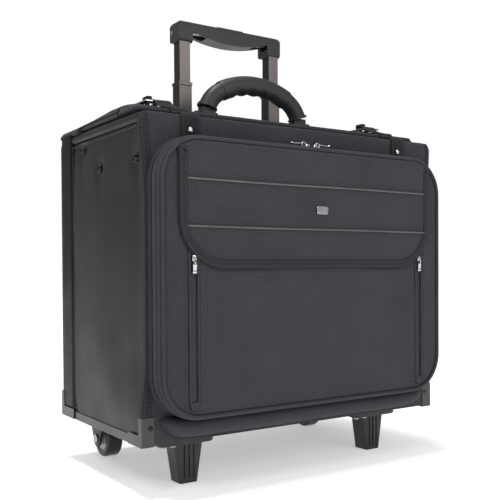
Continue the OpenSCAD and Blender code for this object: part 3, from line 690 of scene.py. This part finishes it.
# lid, lock pads, straps
lidShape = {"edge": 2.6, "corner": 9.0, "rise": 11.6, "start": lidLow[1] + 6, "stop": lidHigh[1] - 1}
padShape = {"rear": 134.0, "out": 221.0, "in": 141.0, "inEdge": 12.0, "outEdge": 34.0}


def padCrown(x):
    # height across a lock pad, 0..1: quarter circles sqrt(1 - (1 - t)^2),
    # short on the inside and long on the outside
    s = padShape
    t = np.minimum((np.abs(x) - s["in"]) / s["inEdge"], (s["out"] - np.abs(x)) / s["outEdge"])
    return np.sqrt(np.clip(1 - (1 - np.clip(t, 0, 1)) ** 2, 0, 1))


def makeLid():
    # lid cover: rounded rectangle in layers, raised towards the rear over the lock pads, with piping round it
    s = lidShape
    thick = lidHigh[2] - lidLow[2]

    def relief(a, b, h):  # rise x ramp from front to rear x the pad's crown across, plus a ripple
        ramp = ease((b - s["start"]) / (s["stop"] - s["start"]))
        inner = np.minimum(lidHigh[0] - np.abs(a), 3) / 3
        lift = s["rise"] * ramp * padCrown(a) * ease(inner) + 0.3 * ripple(a, b, 5, 110)
        return np.where(h > thick - 0.2, lift, 0)

    outline = lambda i: roundRect((lidLow[0], lidLow[1]), (lidHigh[0], lidHigh[1]), 3, s["corner"], i, 110, 6)
    plate = ringPlate(outline, boardLayers(thick, s["edge"], (lidHigh[1] - lidLow[1]) / 2, 12),
                      facingUp(lidLow[2]), relief)
    cover = gridPiece("lidCover", [plate], "cloth", "front_lid", ["front_flap", "strap_pads"])
    ring = roundRect((lidLow[0], lidLow[1]), (lidHigh[0], lidHigh[1]), 3, s["corner"], 0, 110, 6)
    front = ring[(ring[:, 1] < lidHigh[1] - 4)]
    front = front[np.argsort(np.arctan2(front[:, 1] - lidHigh[1] - 40, front[:, 0]))]
    edge = np.stack([front[:, 0], front[:, 1], np.full(len(front), lidLow[2] + 1.2)], -1)
    edge = evenPath(edge, 3)
    gridPiece("lidPiping", [sweepGrid(edge, circleProfile(1.5, 8), (0, 0, 1), roundEnds(len(edge), 2))],
              "tape", "front_lid")


makeLid()


def makeLockPads():
    # soft pads that carry the locks: full height at the lid, then running down to nothing towards the rear
    low, high = boxOf("lock_bases")
    s = padShape
    y = np.append(np.linspace(low[1] - 0.2, high[1], 16), np.linspace(high[1] + 2, s["rear"], 40))
    run = np.clip((y - high[1]) / (s["rear"] - high[1]), 0, 1)
    tall = (high[2] - low[2] - 0.2) * (1 - run) ** 0.9 * (1 - 0.12 * np.sin(math.pi * run))
    tall = tall * np.append([0.93, 0.985], np.ones(len(y) - 2)) + 0.05
    x = np.linspace(0, 1, 44)
    width = s["out"] - s["in"]
    across = -s["out"] + width * x
    crown = padCrown(across)
    swell = 1 + 0.02 * np.sin(across / 9)[None] * np.sin(y / 13)[:, None]
    z = low[2] - 0.3 + tall[:, None] * crown[None] * swell
    top = np.stack([np.broadcast_to(across, z.shape), np.broadcast_to(y[:, None], z.shape), z], -1)
    base = top[:, ::-1].copy()
    base[..., 2] = low[2] - 1.5
    shell = np.concatenate([top, base], 1)
    middle = shell.mean(1, keepdims=True) * np.ones((1, shell.shape[1], 1))
    pad = {"points": np.concatenate([middle[:1], shell, middle[-1:]]), "loopCols": True}
    pads = gridPiece("lockPads", [pad] + mirrored([pad]), "cloth", "case", ["lock_bases"])


makeLockPads()

strapShape = {"wide": 24.0, "thick": 1.8, "x": 165.0, "drift": 4.0}


def makeStraps():
    # front face, over the board's top edge, across to the lid and up the pad: corners rounded by averaging
    s = strapShape
    anchorLow = boxOf("strap_anchors")[0]
    top = lidHigh[2]
    corners = [(frontY - 1.0, anchorLow[2]), (frontY - 1.0, wallTop - 1), (frontY + 1, wallTop + 1.2),
               (frontY + 8, wallTop + 2.2), (lidLow[1] - 3, wallTop + 4), (lidLow[1] + 0.5, top + 1),
               (lidLow[1] + 8, top + 1.4), (lidHigh[1] - 20, top + lidShape["rise"] * 0.72 + 1),
               (lidHigh[1] - 15, top + lidShape["rise"] + 3.6),
               (lidHigh[1] - 8, top + lidShape["rise"] + 5.6),
               (lidHigh[1] - 1, top + lidShape["rise"] + 5.2)]
    line = evenPath([(0, y, z) for y, z in corners], 1.5)
    for i in range(5):
        line[1:-1] = (line[:-2] + 2 * line[1:-1] + line[2:]) / 4
    run = (line[:, 1] - line[0, 1]) / (line[-1, 1] - line[0, 1])
    line[:, 0] = -(s["x"] + s["drift"] * run)
    start, end = (0, frontY / 1000 + 0.010, 0.44), (0, frontY / 1000 + 0.034, 0.44)
    ridge = stripProfile(s["wide"], s["thick"])
    for side in (-1, 1):
        grids = [sweepGrid(line, ridge, (0, -0.8, 1), roundEnds(len(line), 1))]
        beads = []
        for offset in (-s["wide"] / 2 + 2, s["wide"] / 2 - 2):
            across = line + np.array([offset, 0, 0])
            tangent = np.gradient(line, axis=0)
            tangent /= np.linalg.norm(tangent, axis=1)[:, None]
            normal = np.stack([0 * tangent[:, 0], -tangent[:, 2], tangent[:, 1]], -1)
            beads += beadRun(evenPath(across + normal * s["thick"], 3.4), (0, -0.8, 1), 2.2, 0.6, 0.5)
        if side > 0:
            grids, beads = mirrored(grids), mirrored(beads)
        name = "left" if side < 0 else "right"
        strap = gridPiece(name + "Strap", grids, "webbing", None)
        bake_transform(strap)
        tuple(start)
        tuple(end)
        seam = gridPiece(name + "StrapStitches", beads, "thread", None)
        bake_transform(seam)
        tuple(start)
        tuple(end)
    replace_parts(bpy.data.objects["leftStrap"], "straps", "strap_anchors")


makeStraps()
print("lid and straps made")

# front pocket
pocketShape = {"corner": 50.0, "bandEnd": 19.5, "rollEnd": 26.2, "pipeR": 2.3, "sheetIn": 8.0, "crown": 1.6}


flapShape = {"lowR": 58.0, "edge": 1.3, "band": 9.5, "stitchIn": 7.6, "tuck": 5.4}


def pocketOutline(inset, side=70, corner=22):  # the pocket's rounded rectangle, moved in by inset
    return roundRect((pocketLow[0], pocketLow[2]), (pocketHigh[0], pocketHigh[2]),
                     pocketShape["corner"], pocketShape["corner"], inset, side, corner)


def pocketPath(inset, depth, step=3.0):  # that outline as an even line, depth in front of the board
    ring = pocketOutline(inset)
    return evenPath(np.stack([ring[:, 0], np.full(len(ring), frontY - depth), ring[:, 1]], -1), step,
                    closed=True)


def makePocket():
    # tray: the outline at growing depth, with a bead at each seam, then the crowned sheet;
    # the gusset and the zip are closed rings of the same outline behind it
    s = pocketShape
    d = pocketDepth
    zipFront, zipRear = frontY - zipLow[1] + 0.3, frontY - zipHigh[1]
    reach = (pocketHigh[2] - pocketLow[2]) / 2
    band, piped = s["bandEnd"], s["rollEnd"]
    outer = [(3, zipFront), (0.6, zipFront), (-0.6, zipFront + 0.7), (-1.3, zipFront + 3),
             (-1.5, zipFront + 6), (-1.0, band - 1.5), (0.2, band - 0.4), (1.4, band), (0.2, band + 0.5),
             (-1.0, band + 1.8), (-1.5, band + 3.6), (-1.0, piped - 1.4), (0.2, piped - 0.3),
             (1.8, piped), (4.8, piped + 0.2), (5.6, d - 0.4), (7.0, d), (s["sheetIn"], d)]
    sheet = inward(s["sheetIn"], reach, 26, d)
    inner = [(reach, d - 2.4), (60, d - 2.4), (8, d - 2.4), (4.4, d - 3.4), (3, d - 5), (3, zipFront)]

    def relief(a, b, h):
        # crown x ease(distance to the edge / 60), less bells along the seam,
        # the side zips and the flap's edge
        edge = np.minimum(np.minimum(a - pocketLow[0], pocketHigh[0] - a),
                          np.minimum(b - pocketLow[2], pocketHigh[2] - b))
        face = h > d - 0.1
        lift = s["crown"] * ease((edge - 8) / 60) + 0.35 * ripple(a, b, 21, 130) * ease((edge - 8) / 20)
        seam = -0.7 * np.exp(-((edge - 11) / 1.2) ** 2)
        channel = -2.6 * np.exp(-((np.abs(a) - 177) / 4.6) ** 4) * (b < flapLow[2] + 25) * ease((b - 98) / 6)
        beside = np.maximum(np.abs(a) - flapHigh[0] + flapShape["lowR"], 0)
        under = np.maximum(flapLow[2] + flapShape["lowR"] - b, 0)
        gap = np.hypot(beside, under) - flapShape["lowR"]  # distance outside the flap's edge
        shade = -1.7 * np.exp(-((gap - 0.8) / 2.0) ** 2)
        return np.where(face, lift + seam + channel + shade, 0)

    tray = ringPlate(pocketOutline, outer + sheet, facingFront(frontY), relief)
    lining = ringPlate(pocketOutline, inner, facingFront(frontY))
    gridPiece("pocketTray", [tray, lining], "cloth", "pocket_front", ["pocket_panel"], sharp=70)
    pipe = pocketPath(2.7, d + 0.2)
    gridPiece("pocketPiping", [sweepGrid(pipe, circleProfile(s["pipeR"], 12), (0, -1, 0), None, True)],
              "cloth", "pocket_front", ["pocket_piping"])
    rear = [(3, 0), (-2.2, 0), (-2.8, 0.5), (-2.0, 1.3), (-0.4, zipRear - 0.6), (0.4, zipRear),
            (1.4, zipRear), (3, zipRear - 0.4), (3, 0)]
    gridPiece("pocketRearGusset", [ringPlate(pocketOutline, rear, facingFront(frontY))], "cloth", "case",
              ["pocket_gusset"], sharp=70)
    zipTape = [(2.6, zipRear), (1.3, zipRear), (1.1, (zipRear + zipFront) / 2), (1.3, zipFront - 0.3),
               (2.6, zipFront - 0.3)]
    gridPiece("pocketZipTape", [{**ringPlate(pocketOutline, zipTape, facingFront(frontY)), "loopRows": True}],
              "zipCoil", "case", ["pocket_zip"], sharp=70)
    middle = pocketPath(0.7, (zipRear + zipFront) / 2, 2.2)
    gridPiece("pocketZipTeeth", beadRun(middle, (0, -1, 0), 1.5, 1.6, 2.6, True), "zipTooth", "case")
    line = pocketPath(-1.7, s["bandEnd"] - 3, 4.4)
    gridPiece("pocketBandStitches", beadRun(line, (0, -1, 0), 2.8, 0.6, 0.7, True), "thread", "pocket_front")
    line = pocketPath(13.5, d + 0.35, 4.4)
    line = line[(line[:, 2] < flapLow[2] + 20)]
    gridPiece("pocketSheetStitches", beadRun(line, (0, -1, 0), 2.8, 0.7, 0.7, True), "thread", "pocket_front")


makePocket()


rollShape = {"half": 206.0, "tall": 12.0, "deep": 18.0, "drop": 12.0, "reach": 9}


def makeLowerRoll():
    # stuffed roll under the pocket: y = frontY - deep sin(a)^0.8, z = middle + tall cos(a),
    # small at both ends
    s = rollShape
    x = np.linspace(-s["half"], s["half"], 120)[:, None]
    a = np.linspace(0, math.pi, 14)
    out = np.append(s["deep"] * np.sin(a) ** 0.8, [0.3, 0.3])[None]
    up = np.append(s["tall"] * np.cos(a), [-s["tall"] + 1, s["tall"] - 1])[None]
    size = roundEnds(len(x), s["reach"])[:, None]
    z = pocketLow[2] - s["drop"] + up * size + 10 * (np.abs(x) / s["half"]) ** 14 + 0.3 * np.sin(x / 27)
    points = np.stack([x + 0 * z, frontY - out * (0.3 + 0.7 * size), z], -1)
    roll = gridPiece("lowerRoll", [{"points": points, "loopCols": True}], "cloth", "case")
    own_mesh(roll)


makeLowerRoll()

sideZipShape = {"x": 177.0, "welt": 5.4, "weltR": 1.5, "tape": 8.6, "low": 104.0, "tooth": 2.2, "sunk": 2.0}


def makeSideZips():  # a coil zip sunk between two rolled welts, down each side of the document pocket
    s = sideZipShape
    y = pocketFace - pocketShape["crown"] * 0.9
    z = np.linspace(s["low"], flapLow[2] + 22, 60)
    grids, beads = [], []
    for offset in (-s["welt"], s["welt"]):
        path = np.stack([np.full_like(z, -s["x"] + offset), y + 0.5 - 0.2 * np.sin(z / 9), z], -1)
        grids.append(sweepGrid(path, circleProfile(s["weltR"], 10, 0.9), (0, -1, 0), roundEnds(len(z), 2)))
        seam = np.stack([np.full_like(z, -s["x"] + offset * 1.85), np.full_like(z, y + 0.1), z], -1)
        beads += beadRun(evenPath(seam, 4.6), (0, -1, 0), 2.9, 0.8, 0.8)
    x = np.linspace(-s["x"] - s["welt"], -s["x"] + s["welt"], 12)
    end = np.stack([x, np.full_like(x, y + 0.5), np.full_like(x, s["low"] + 1)], -1)
    # folded tab that closes the foot
    grids.append(sweepGrid(end, stripProfile(9, 1.2), (0, -1, 0), roundEnds(12, 1)))
    path = np.stack([np.full_like(z, -s["x"]), np.full_like(z, y + s["sunk"]), z], -1)
    tape = sweepGrid(path, stripProfile(s["tape"], 0.8), (0, -1, 0), roundEnds(len(z), 1))
    row = np.stack([np.full_like(z, -s["x"]), np.full_like(z, y + s["sunk"] - 0.9), z], -1)
    teeth = beadRun(evenPath(row, s["tooth"]), (0, -1, 0), 1.3, 3.0, 1.3)
    for name, flip in (("left", False), ("right", True)):
        turn = mirrored if flip else (lambda g: g)
        gridPiece(name + "SideZipWelts", turn(grids), "cloth", "pocket_front")
        gridPiece(name + "SideZipTape", turn([tape]), "zipCoil", "pocket_front")
        gridPiece(name + "SideZipTeeth", turn(teeth), "zipTooth", "pocket_front")
        gridPiece(name + "SideZipStitches", turn(beads), "thread", "pocket_front")


makeSideZips()


def flapOutline(i, side=90, corner=18):
    # lower corners round; the sides run straight up until they meet the pocket piping,
    # and follow it to the top
    r = pocketShape["corner"] - flapShape["tuck"] - i
    cx, cz = pocketHigh[0] - pocketShape["corner"], pocketHigh[2] - pocketShape["corner"]
    x, z0 = max(flapHigh[0] - i, 1), flapLow[2] + i
    z1 = cz + r
    z0 = min(z0, (z0 + z1) / 2) if z1 > z0 else (z0 + z1) / 2
    low = max(flapShape["lowR"] - i, 0)
    if x > cx:
        a = np.linspace(math.acos(min((x - cx) / r, 1)), math.pi / 2, corner)
        top = np.stack([cx + r * np.cos(a), cz + r * np.sin(a)], -1)
    else:
        top = np.repeat([[x, max(z1, z0)]], corner, 0)
    a = np.radians(np.linspace(-90, 0, corner))
    bottom = np.stack([x - low + low * np.cos(a), z0 + low + low * np.sin(a)], -1)
    flip = np.array([-1, 1])
    arcs = [bottom, top, top[::-1] * flip, bottom[::-1] * flip]
    out = []
    for k in range(4):
        before, after = arcs[k - 1][-1], arcs[k][0]
        t = np.linspace(0, 1, side + 2)[1:-1, None]
        out += [before + (after - before) * t, arcs[k]]
    return np.concatenate(out)


def flapEdge(i, y, step):  # up one side's outline, round the bottom and up the other, without the top
    ring = flapOutline(i)
    n = len(ring)
    order = np.roll(np.arange(n), -int(np.argmin(np.abs(ring[:, 0]) + (ring[:, 1] < 300) * 1e3)))
    ring = ring[order]
    keep = ring[:, 1] < pocketHigh[2] - pocketShape["corner"] + 40
    first, last = np.flatnonzero(keep)[0], np.flatnonzero(keep)[-1]
    ring = ring[first:last + 1]
    return evenPath(np.stack([ring[:, 0], np.full(len(ring), y), ring[:, 1]], -1), step)


def makeFlap():
    # flap: its outline in layers with a round edge;
    # binding, stitches and piped stripes follow the same outline
    s = flapShape
    thick = flapHigh[1] - flapLow[1]
    stripes = stripeHeights()
    reach = (pocketHigh[2] - s["tuck"] - flapLow[2]) / 2

    def relief(a, b, h):
        # 0.9 x ease(distance to the edge / 25), less bells beside the binding and under the stripes
        edge = np.minimum(np.minimum(a - flapLow[0], flapHigh[0] - a), b - flapLow[2])
        lift = 0.9 * ease(edge / 25) + 0.35 * ripple(a, b, 33, 140) * ease(edge / 15)
        lift = lift - 0.4 * np.exp(-((edge - s["band"] - 0.8) / 1.2) ** 2)
        for z in stripes:
            lift = lift - 0.8 * np.exp(-((b - z) / 2.2) ** 2)
        return np.where(h > thick - 0.2, lift, 0)

    plate = ringPlate(flapOutline, boardLayers(thick - 0.6, s["edge"], reach, 30), facingFront(flapHigh[1]),
                      relief)
    flap = gridPiece("pocketFlap", [plate], "cloth", "flap", ["pocket_flap"])
    # binding tape folded over the edge: its section runs from the back, round the edge, to the inner line
    edge = flapEdge(0, flapLow[1] + 0.5, 3)
    t = 0.75
    tape = [(-1.0, -2.2), (-1.0, -0.6), (-0.5, 0.5), (0.5, t), (s["band"] - 0.6, t + 0.45),
            (s["band"], t * 0.5 + 0.4), (s["band"], -0.2), (0.3, -0.4), (0.3, -2.2)]
    profile = np.array(tape) * np.array([-1, 1])
    gridPiece("flapBinding", [sweepGrid(edge, profile, (0, -1, 0), roundEnds(len(edge), 1))], "tape", "flap")
    beads = []
    for inset in (2.0, s["stitchIn"]):
        beads += beadRun(flapEdge(inset, flapLow[1] - 0.5, 4.4), (0, -1, 0), 2.8, 0.7, 0.7)
    gridPiece("flapStitches", beads, "thread", "flap")
    grids, beads = [], []
    x = np.linspace(-187, 187, 120)
    for z in stripes:
        y = flapLow[1] - 0.5
        path = np.stack([x, np.full_like(x, y), z + 0.25 * np.sin(x / 41)], -1)
        grids.append(sweepGrid(path, circleProfile(1.35, 10), (0, -1, 0), roundEnds(len(x), 1)))
        seam = np.stack([x, np.full_like(x, flapLow[1] - 0.25), z - 3.8 + 0.25 * np.sin(x / 41)], -1)
        beads += beadRun(evenPath(seam, 4.2), (0, -1, 0), 2.8, 0.6, 0.5)
    gridPiece("flapStripes", grids, "stripe", "flap", ["flap_stripes"])
    gridPiece("flapStripeStitches", beads, "thread", "flap")


def stripeHeights():  # the two stripes' middle heights, at the ends of their node's box
    low, high = boxOf("flap_stripes")
    return [low[2] + 1.2, high[2] - 1.2]


makeFlap()
print("pocket made")


# feet: moulded legs with a flange
footShape = {"sole": 12.0, "top": 20.5, "deep": 12.5, "corner": 2.5, "at": 50.0, "flange": 8.0,
             "flangeEdge": 2.5, "groove": 1.6, "grooveHalf": 1.3, "pitch": 6.4}


def makeFoot(node):
    # leg: a rounded rectangle whose half width is sole + (top - sole) z / height, under a rounded flange;
    # three upright grooves, pitch apart, are sunk in the front face
    s = footShape
    low, high = boxOf(node)
    middle = np.array([low[0] + s["at"], (low[1] + high[1]) / 2])
    height = high[2] - s["flange"]
    z = np.linspace(0, height, 30)[:, None]
    ring = roundRect((-s["sole"], -s["deep"]), (s["sole"], s["deep"]), s["corner"], s["corner"], 0, 60, 4)
    x = ring[None, :, 0] * (s["sole"] + (s["top"] - s["sole"]) * z / height) / s["sole"]
    y = ring[None, :, 1] + 0 * z
    nearest = s["pitch"] * np.clip(np.round(x / s["pitch"]), -1, 1)
    groove = np.clip((s["grooveHalf"] - np.abs(x - nearest)) / 0.5, 0, 1)
    groove = groove * (y < 0.3 - s["deep"]) * ease((z - 3) / 3)
    leg = np.stack([middle[0] + x, middle[1] + y + s["groove"] * groove, z + 0 * x], -1)
    centre = leg.mean(1, keepdims=True) * np.ones((1, leg.shape[1], 1))
    leg = {"points": np.concatenate([centre[:1], leg, centre[-1:]]), "loopCols": True}
    flange = ringPlate(lambda i: roundRect((low[0], low[1]), (high[0], high[1]), 9, 9, i, 16, 6),
                       boardLayers(s["flange"], s["flangeEdge"], (high[1] - low[1]) / 2, 8), facingUp(height))
    gridPiece(node + "-moulding", [leg, flange], "abs", "case", [node], sharp=35)


makeFoot("left_foot")
makeFoot("right_foot")

# carry handle grip
gripShape = {"cornerR": 42.0, "topR": 120.0, "half": 78.0, "r": 13.3, "deep": 1.9, "fingers": 4,
             "pitch": 21.0}


def makeCarryGrip():
    # a tube along the top arc, fuller in the middle, with shallow hollows for the fingers underneath
    s = gripShape
    low, high = boxOf("handle_grip")
    y = (low[1] + high[1]) / 2
    join = math.asin((s["half"] - s["cornerR"]) / (s["topR"] - s["cornerR"]))
    top = high[2] - (high[1] - low[1]) / 2
    a = np.linspace(-join, join, 90)
    path = np.stack([s["topR"] * np.sin(a), np.full_like(a, y), top - s["topR"] * (1 - np.cos(a))], -1)
    around = np.linspace(0, 2 * math.pi, 32, endpoint=False)
    along = s["topR"] * a
    window = ease((s["fingers"] * s["pitch"] / 2 - np.abs(along)) / 8)
    hollow = s["deep"] * window * (0.5 - 0.5 * np.cos(2 * math.pi * along / s["pitch"]))
    down = np.clip(-np.sin(around), 0, 1) ** 1.5
    r = s["r"] + 0.25 * np.cos(a * 2.2)[:, None] - hollow[:, None] * down[None]
    edge = np.clip(np.minimum(np.arange(90), 89 - np.arange(90)) / 2, 0, 1)
    r = r * (0.93 + 0.07 * edge)[:, None]
    outDir = np.stack([np.sin(a), 0 * a, np.cos(a)], -1)
    points = path[:, None] + r[..., None] * (np.cos(around)[None, :, None] * np.array([0, 1.0, 0])
                                             + np.sin(around)[None, :, None] * outDir[:, None])
    points = np.concatenate([np.repeat(path[:1, None], 32, 1), points, np.repeat(path[-1:, None], 32, 1)])
    gridPiece("carryGrip", [{"points": points, "loopCols": True}], "gripAbs", "carry_handle",
              ["handle_grip"], sharp=50)


makeCarryGrip()
print("feet and carry grip made")

# zip sliders: a crowned body, a bail ring and a thin pull with a knob
sliderShape = {"bodyLong": 8.5, "bodyWide": 6.0, "ring": 2.8, "wire": 0.85}
pullShape = {"top": {"long": 19.0, "wide": 1.8, "thick": 1.6, "knob": 0.9, "rise": 6.6, "tall": 1.0},
             "side": {"long": 11.0, "wide": 5.0, "thick": 1.1, "knob": 0.15, "rise": 2.5, "tall": 0.7}}


def makeSlider(name, body, origin, along, out, node, pull):
    # along points down the pull, out points away from the zip; each section grows from a point and back
    s = sliderShape
    origin, along, out = (np.array(v, float) for v in (origin, along, out))
    across = np.cross(along, out)
    t = np.linspace(-s["bodyLong"] / 2, s["bodyLong"] / 2, 9)
    path = origin + t[:, None] * along
    crown = roundRect((-s["bodyWide"] / 2, 0), (s["bodyWide"] / 2, pull["rise"] + 0.6), 1.2, 0.6, 0, 4, 4)
    grids = [sweepGrid(path, crown, out, roundEnds(9, 2))]
    centre = origin + along * (s["bodyLong"] / 2 + 0.4) + out * pull["rise"]
    a = np.linspace(0, 2 * math.pi, 28, endpoint=False)
    ring = centre + s["ring"] * (np.cos(a)[:, None] * along + pull["tall"] * np.sin(a)[:, None] * out)
    grids.append(sweepGrid(ring, circleProfile(s["wire"], 8), across, None, True))
    start = centre + along * (s["ring"] - 0.6)
    t = np.linspace(0, pull["long"], 24)
    sag = -0.6 * out * (np.sin(t / pull["long"] * math.pi / 2) ** 2)[:, None]
    bar = start + t[:, None] * along + sag
    knob = 1 + pull["knob"] * np.exp(-((t - pull["long"] + 2.2) / 1.2) ** 2)
    knob = knob + 0.5 * np.exp(-(t / 1.2) ** 2) * pull["tall"]
    halfWide, thick, edge = pull["wide"] / 2, pull["thick"], pull["thick"] / 2.2
    flat = roundRect((-halfWide, 0), (halfWide, thick), edge, edge, 0, 3, 3)
    grids.append(sweepGrid(bar, flat, out, knob * roundEnds(24, 2)))
    gridPiece(name, grids, "nickel", body, [node])


def makeSliders():  # each slider sits at its CAD box: the top ones at the inner end, the side ones at the top
    for side, word in ((-1, "left"), (1, "right")):
        node = word + "_top_slider"
        low, high = boxOf(node)
        inner = high[0] if side < 0 else low[0]
        origin = (inner + side * 5, (low[1] + high[1]) / 2, low[2] + 0.4)
        makeSlider(word + "TopSlider", bodyOfNode[node], origin, (side, 0, 0.0), (0, 0, 1), node,
                   pullShape["top"])
        node = word + "_side_slider"
        low, high = boxOf(node)
        origin = ((low[0] + high[0]) / 2, high[1] - 0.2, high[2] + 6.5)
        makeSlider(word + "SideSlider", bodyOfNode[node], origin, (0, 0, -1), (0, -1, 0), node,
                   pullShape["side"])


makeSliders()


def makeRivetRings():  # a dark washer round each dome: a circle swept round the dome's axis
    grids = []
    a = np.linspace(0, 2 * math.pi, 24, endpoint=False)
    for place in rivetPlaces():
        onSide = abs(place[0]) > halfW - 8
        if onSide:
            x = math.copysign(halfW - 1.1, place[0])
            ring = np.stack([np.full_like(a, x), place[1] + 4.6 * np.cos(a), place[2] + 4.6 * np.sin(a)], -1)
            up = (1, 0, 0)
        else:
            ring = np.stack([place[0] + 4.6 * np.cos(a), np.full_like(a, frontY - 2.9),
                             place[2] + 4.6 * np.sin(a)], -1)
            up = (0, 1, 0)
        grids.append(sweepGrid(ring, circleProfile(0.95, 8), up, None, True))
    gridPiece("rivetRings", grids, "rivet", "case", shape=pinch)


makeRivetRings()
print("sliders and rivets made")

# CAD-shaped parts: softened edges and real finishes


def bySide(face):  # tubes are grey in front and behind; their sides and ends get a near-black finish that is painted reflection, standing for the dark surroundings those faces mirror
    return 1 if abs(face.normal.x) > 0.7 or face.normal.z > 0.7 else 0


def byPlace(face):  # the rivets through the straps are bright, those through the side walls black
    return 1 if abs(face.calc_center_median().x) < 0.2 else 0


finishTable = [
    ("top_deck", "clothTop", 2.0), ("trolley_shroud", "lining", 0.8), ("file_divider", "lining", 1.8),
    ("front_corner_protectors", "hammered", 0.35), ("rear_corner_protectors", "hammered", 0.35),
    ("corner_screws", "rivet", 0), ("edge_strips", "pvcTrim", 0.4),
    ("foot_screws", "steel", 0.4), ("left_wheel_housing", "abs", 0.8), ("right_wheel_housing", "abs", 0.8),
    ("axles", "steel", 0.6), ("tube_base_bracket", "abs", 0.8), ("deck_bezels", "abs", 0.8),
    ("handle_brackets", "abs", 0.6), ("hasp_plates", "nickel", 0.4), ("left_lock_knob", "rivet", 0.8),
    ("right_lock_knob", "rivet", 0.8), ("handle_frame", "gripAbs", 0.8), ("handle_pins", "steel", 0.3),
    ("tube_plugs", "abs", 0.4), ("grip_lower_shell", "gripAbs", 1.0),
    ("grip_upper_shell", "gripAbs", 0.8), ("grip_screws", "steel", 0.3), ("release_button", "abs", 0.8),
    ("release_yoke", "steel", 0.3), ("left_tyre", "rubber", 0.5),
    ("right_tyre", "rubber", 0.5), ("left_hub", "hub", 0.6), ("right_hub", "hub", 0.6),
    ("badge", "nickel", 0.5)]
for node, finish, bevel in finishTable:
    finishedNode(node, finish, bevel)
# the tubes' second finish paints their sides and ends near black as painted dark reflection
for node in ("outer_tubes", "mid_tubes", "mid_collars", "inner_tubes"):
    finishedNode(node, ("tube", "tubeSideDarkReflection"), 0.8, split=bySide)
finishedNode("dome_rivets", ("rivet", "nickel"), 0, split=byPlace, shape=pinch)
spring = finishedNode("button_spring", "steel", 0)
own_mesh(spring)
print("parts finished")


# stage: floor, light, camera
def makeStage():
    mesh = bpy.data.meshes.new("floor")
    size = 6.0
    mesh.from_pydata([(-size, -size, 0), (size, -size, 0), (size, size, 0), (-size, size, 0)], [],
                     [(0, 1, 2, 3)])
    floor = bpy.data.objects.new("floor", mesh)
    bpy.context.scene.collection.objects.link(floor)
    material, tree, shader = startMaterial("paperSweep", 0.9)
    shader.inputs["Base Color"].default_value = toLinear("#f4f4f4")
    shader.inputs["Emission Color"].default_value = toLinear("#ffffff")
    shader.inputs["Emission Strength"].default_value = 0.42
    mesh.materials.append(material)
    world = bpy.data.worlds.new("studio")
    bpy.context.scene.world = world
    world.use_nodes = True
    tree = world.node_tree
    soft = tree.nodes["Background"]  # lights the object gently; the backdrop itself stays white
    soft.inputs["Color"].default_value = (1, 1, 1, 1)
    soft.inputs["Strength"].default_value = 0.36
    white = addNode(tree, "Background", {"Color": (1, 1, 1, 1), "Strength": 1.02})
    seen = addNode(tree, "LightPath").outputs["Is Camera Ray"]
    both = addNode(tree, "MixShader", None, {0: seen, 1: soft.outputs[0], 2: white.outputs[0]})
    tree.links.new(both.outputs[0], tree.nodes["World Output"].inputs["Surface"])
    bpy.context.scene.view_settings.view_transform = "Standard"


lights = {
    "sun": {"kind": "SUN", "at": (-0.10, 0.04, 1.0), "aim": (0, 0, 0), "size": 10, "power": 1.7},
    "key": {"kind": "AREA", "at": (-1.0, -0.65, 1.25), "aim": (-0.2, -0.1, 0.42), "size": 0.5, "power": 5},
    "fill": {"kind": "AREA", "at": (0.6, -2.4, 1.5), "aim": (0, 0, 0.25), "size": 1.6, "power": 18}}


def makeLights():  # each light looks from its place to its aim
    for name, s in lights.items():
        light = bpy.data.lights.new(name, s["kind"])
        light.energy = s["power"]
        if s["kind"] == "SUN":
            light.angle = math.radians(s["size"])
        else:
            light.shape, light.size = "DISK", s["size"]
        lamp = bpy.data.objects.new(name, light)
        bpy.context.scene.collection.objects.link(lamp)
        lamp.location = s["at"]
        lamp.rotation_euler = (Vector(s["aim"]) - Vector(s["at"])).to_track_quat("-Z", "Y").to_euler()


cameraShape = {"at": (-0.602, -0.8854, 0.261), "yaw": 33.80, "pitch": -0.97, "roll": -0.35, "lens": 55.2,
               "shiftY": 0.06}


def makeCamera():  # ahead from yaw and pitch, right level, up = right x ahead, then both turned by the roll
    s = cameraShape
    yaw, pitch, roll = (math.radians(s[k]) for k in ("yaw", "pitch", "roll"))
    ahead = Vector((math.sin(yaw) * math.cos(pitch), math.cos(yaw) * math.cos(pitch), math.sin(pitch)))
    right = Vector((math.cos(yaw), -math.sin(yaw), 0))
    up = right.cross(ahead)
    right, up = right * math.cos(roll) + up * math.sin(roll), up * math.cos(roll) - right * math.sin(roll)
    data = bpy.data.cameras.new("camera")
    camera = bpy.data.objects.new("camera", data)
    bpy.context.scene.collection.objects.link(camera)
    data.lens, data.sensor_width, data.shift_y, data.dof.use_dof = s["lens"], 36, s["shiftY"], False
    turn = Matrix((right, up, -ahead)).transposed().to_4x4()
    camera.matrix_world = Matrix.Translation(s["at"]) @ turn
    bpy.context.scene.camera = camera


makeStage()
makeLights()
makeCamera()
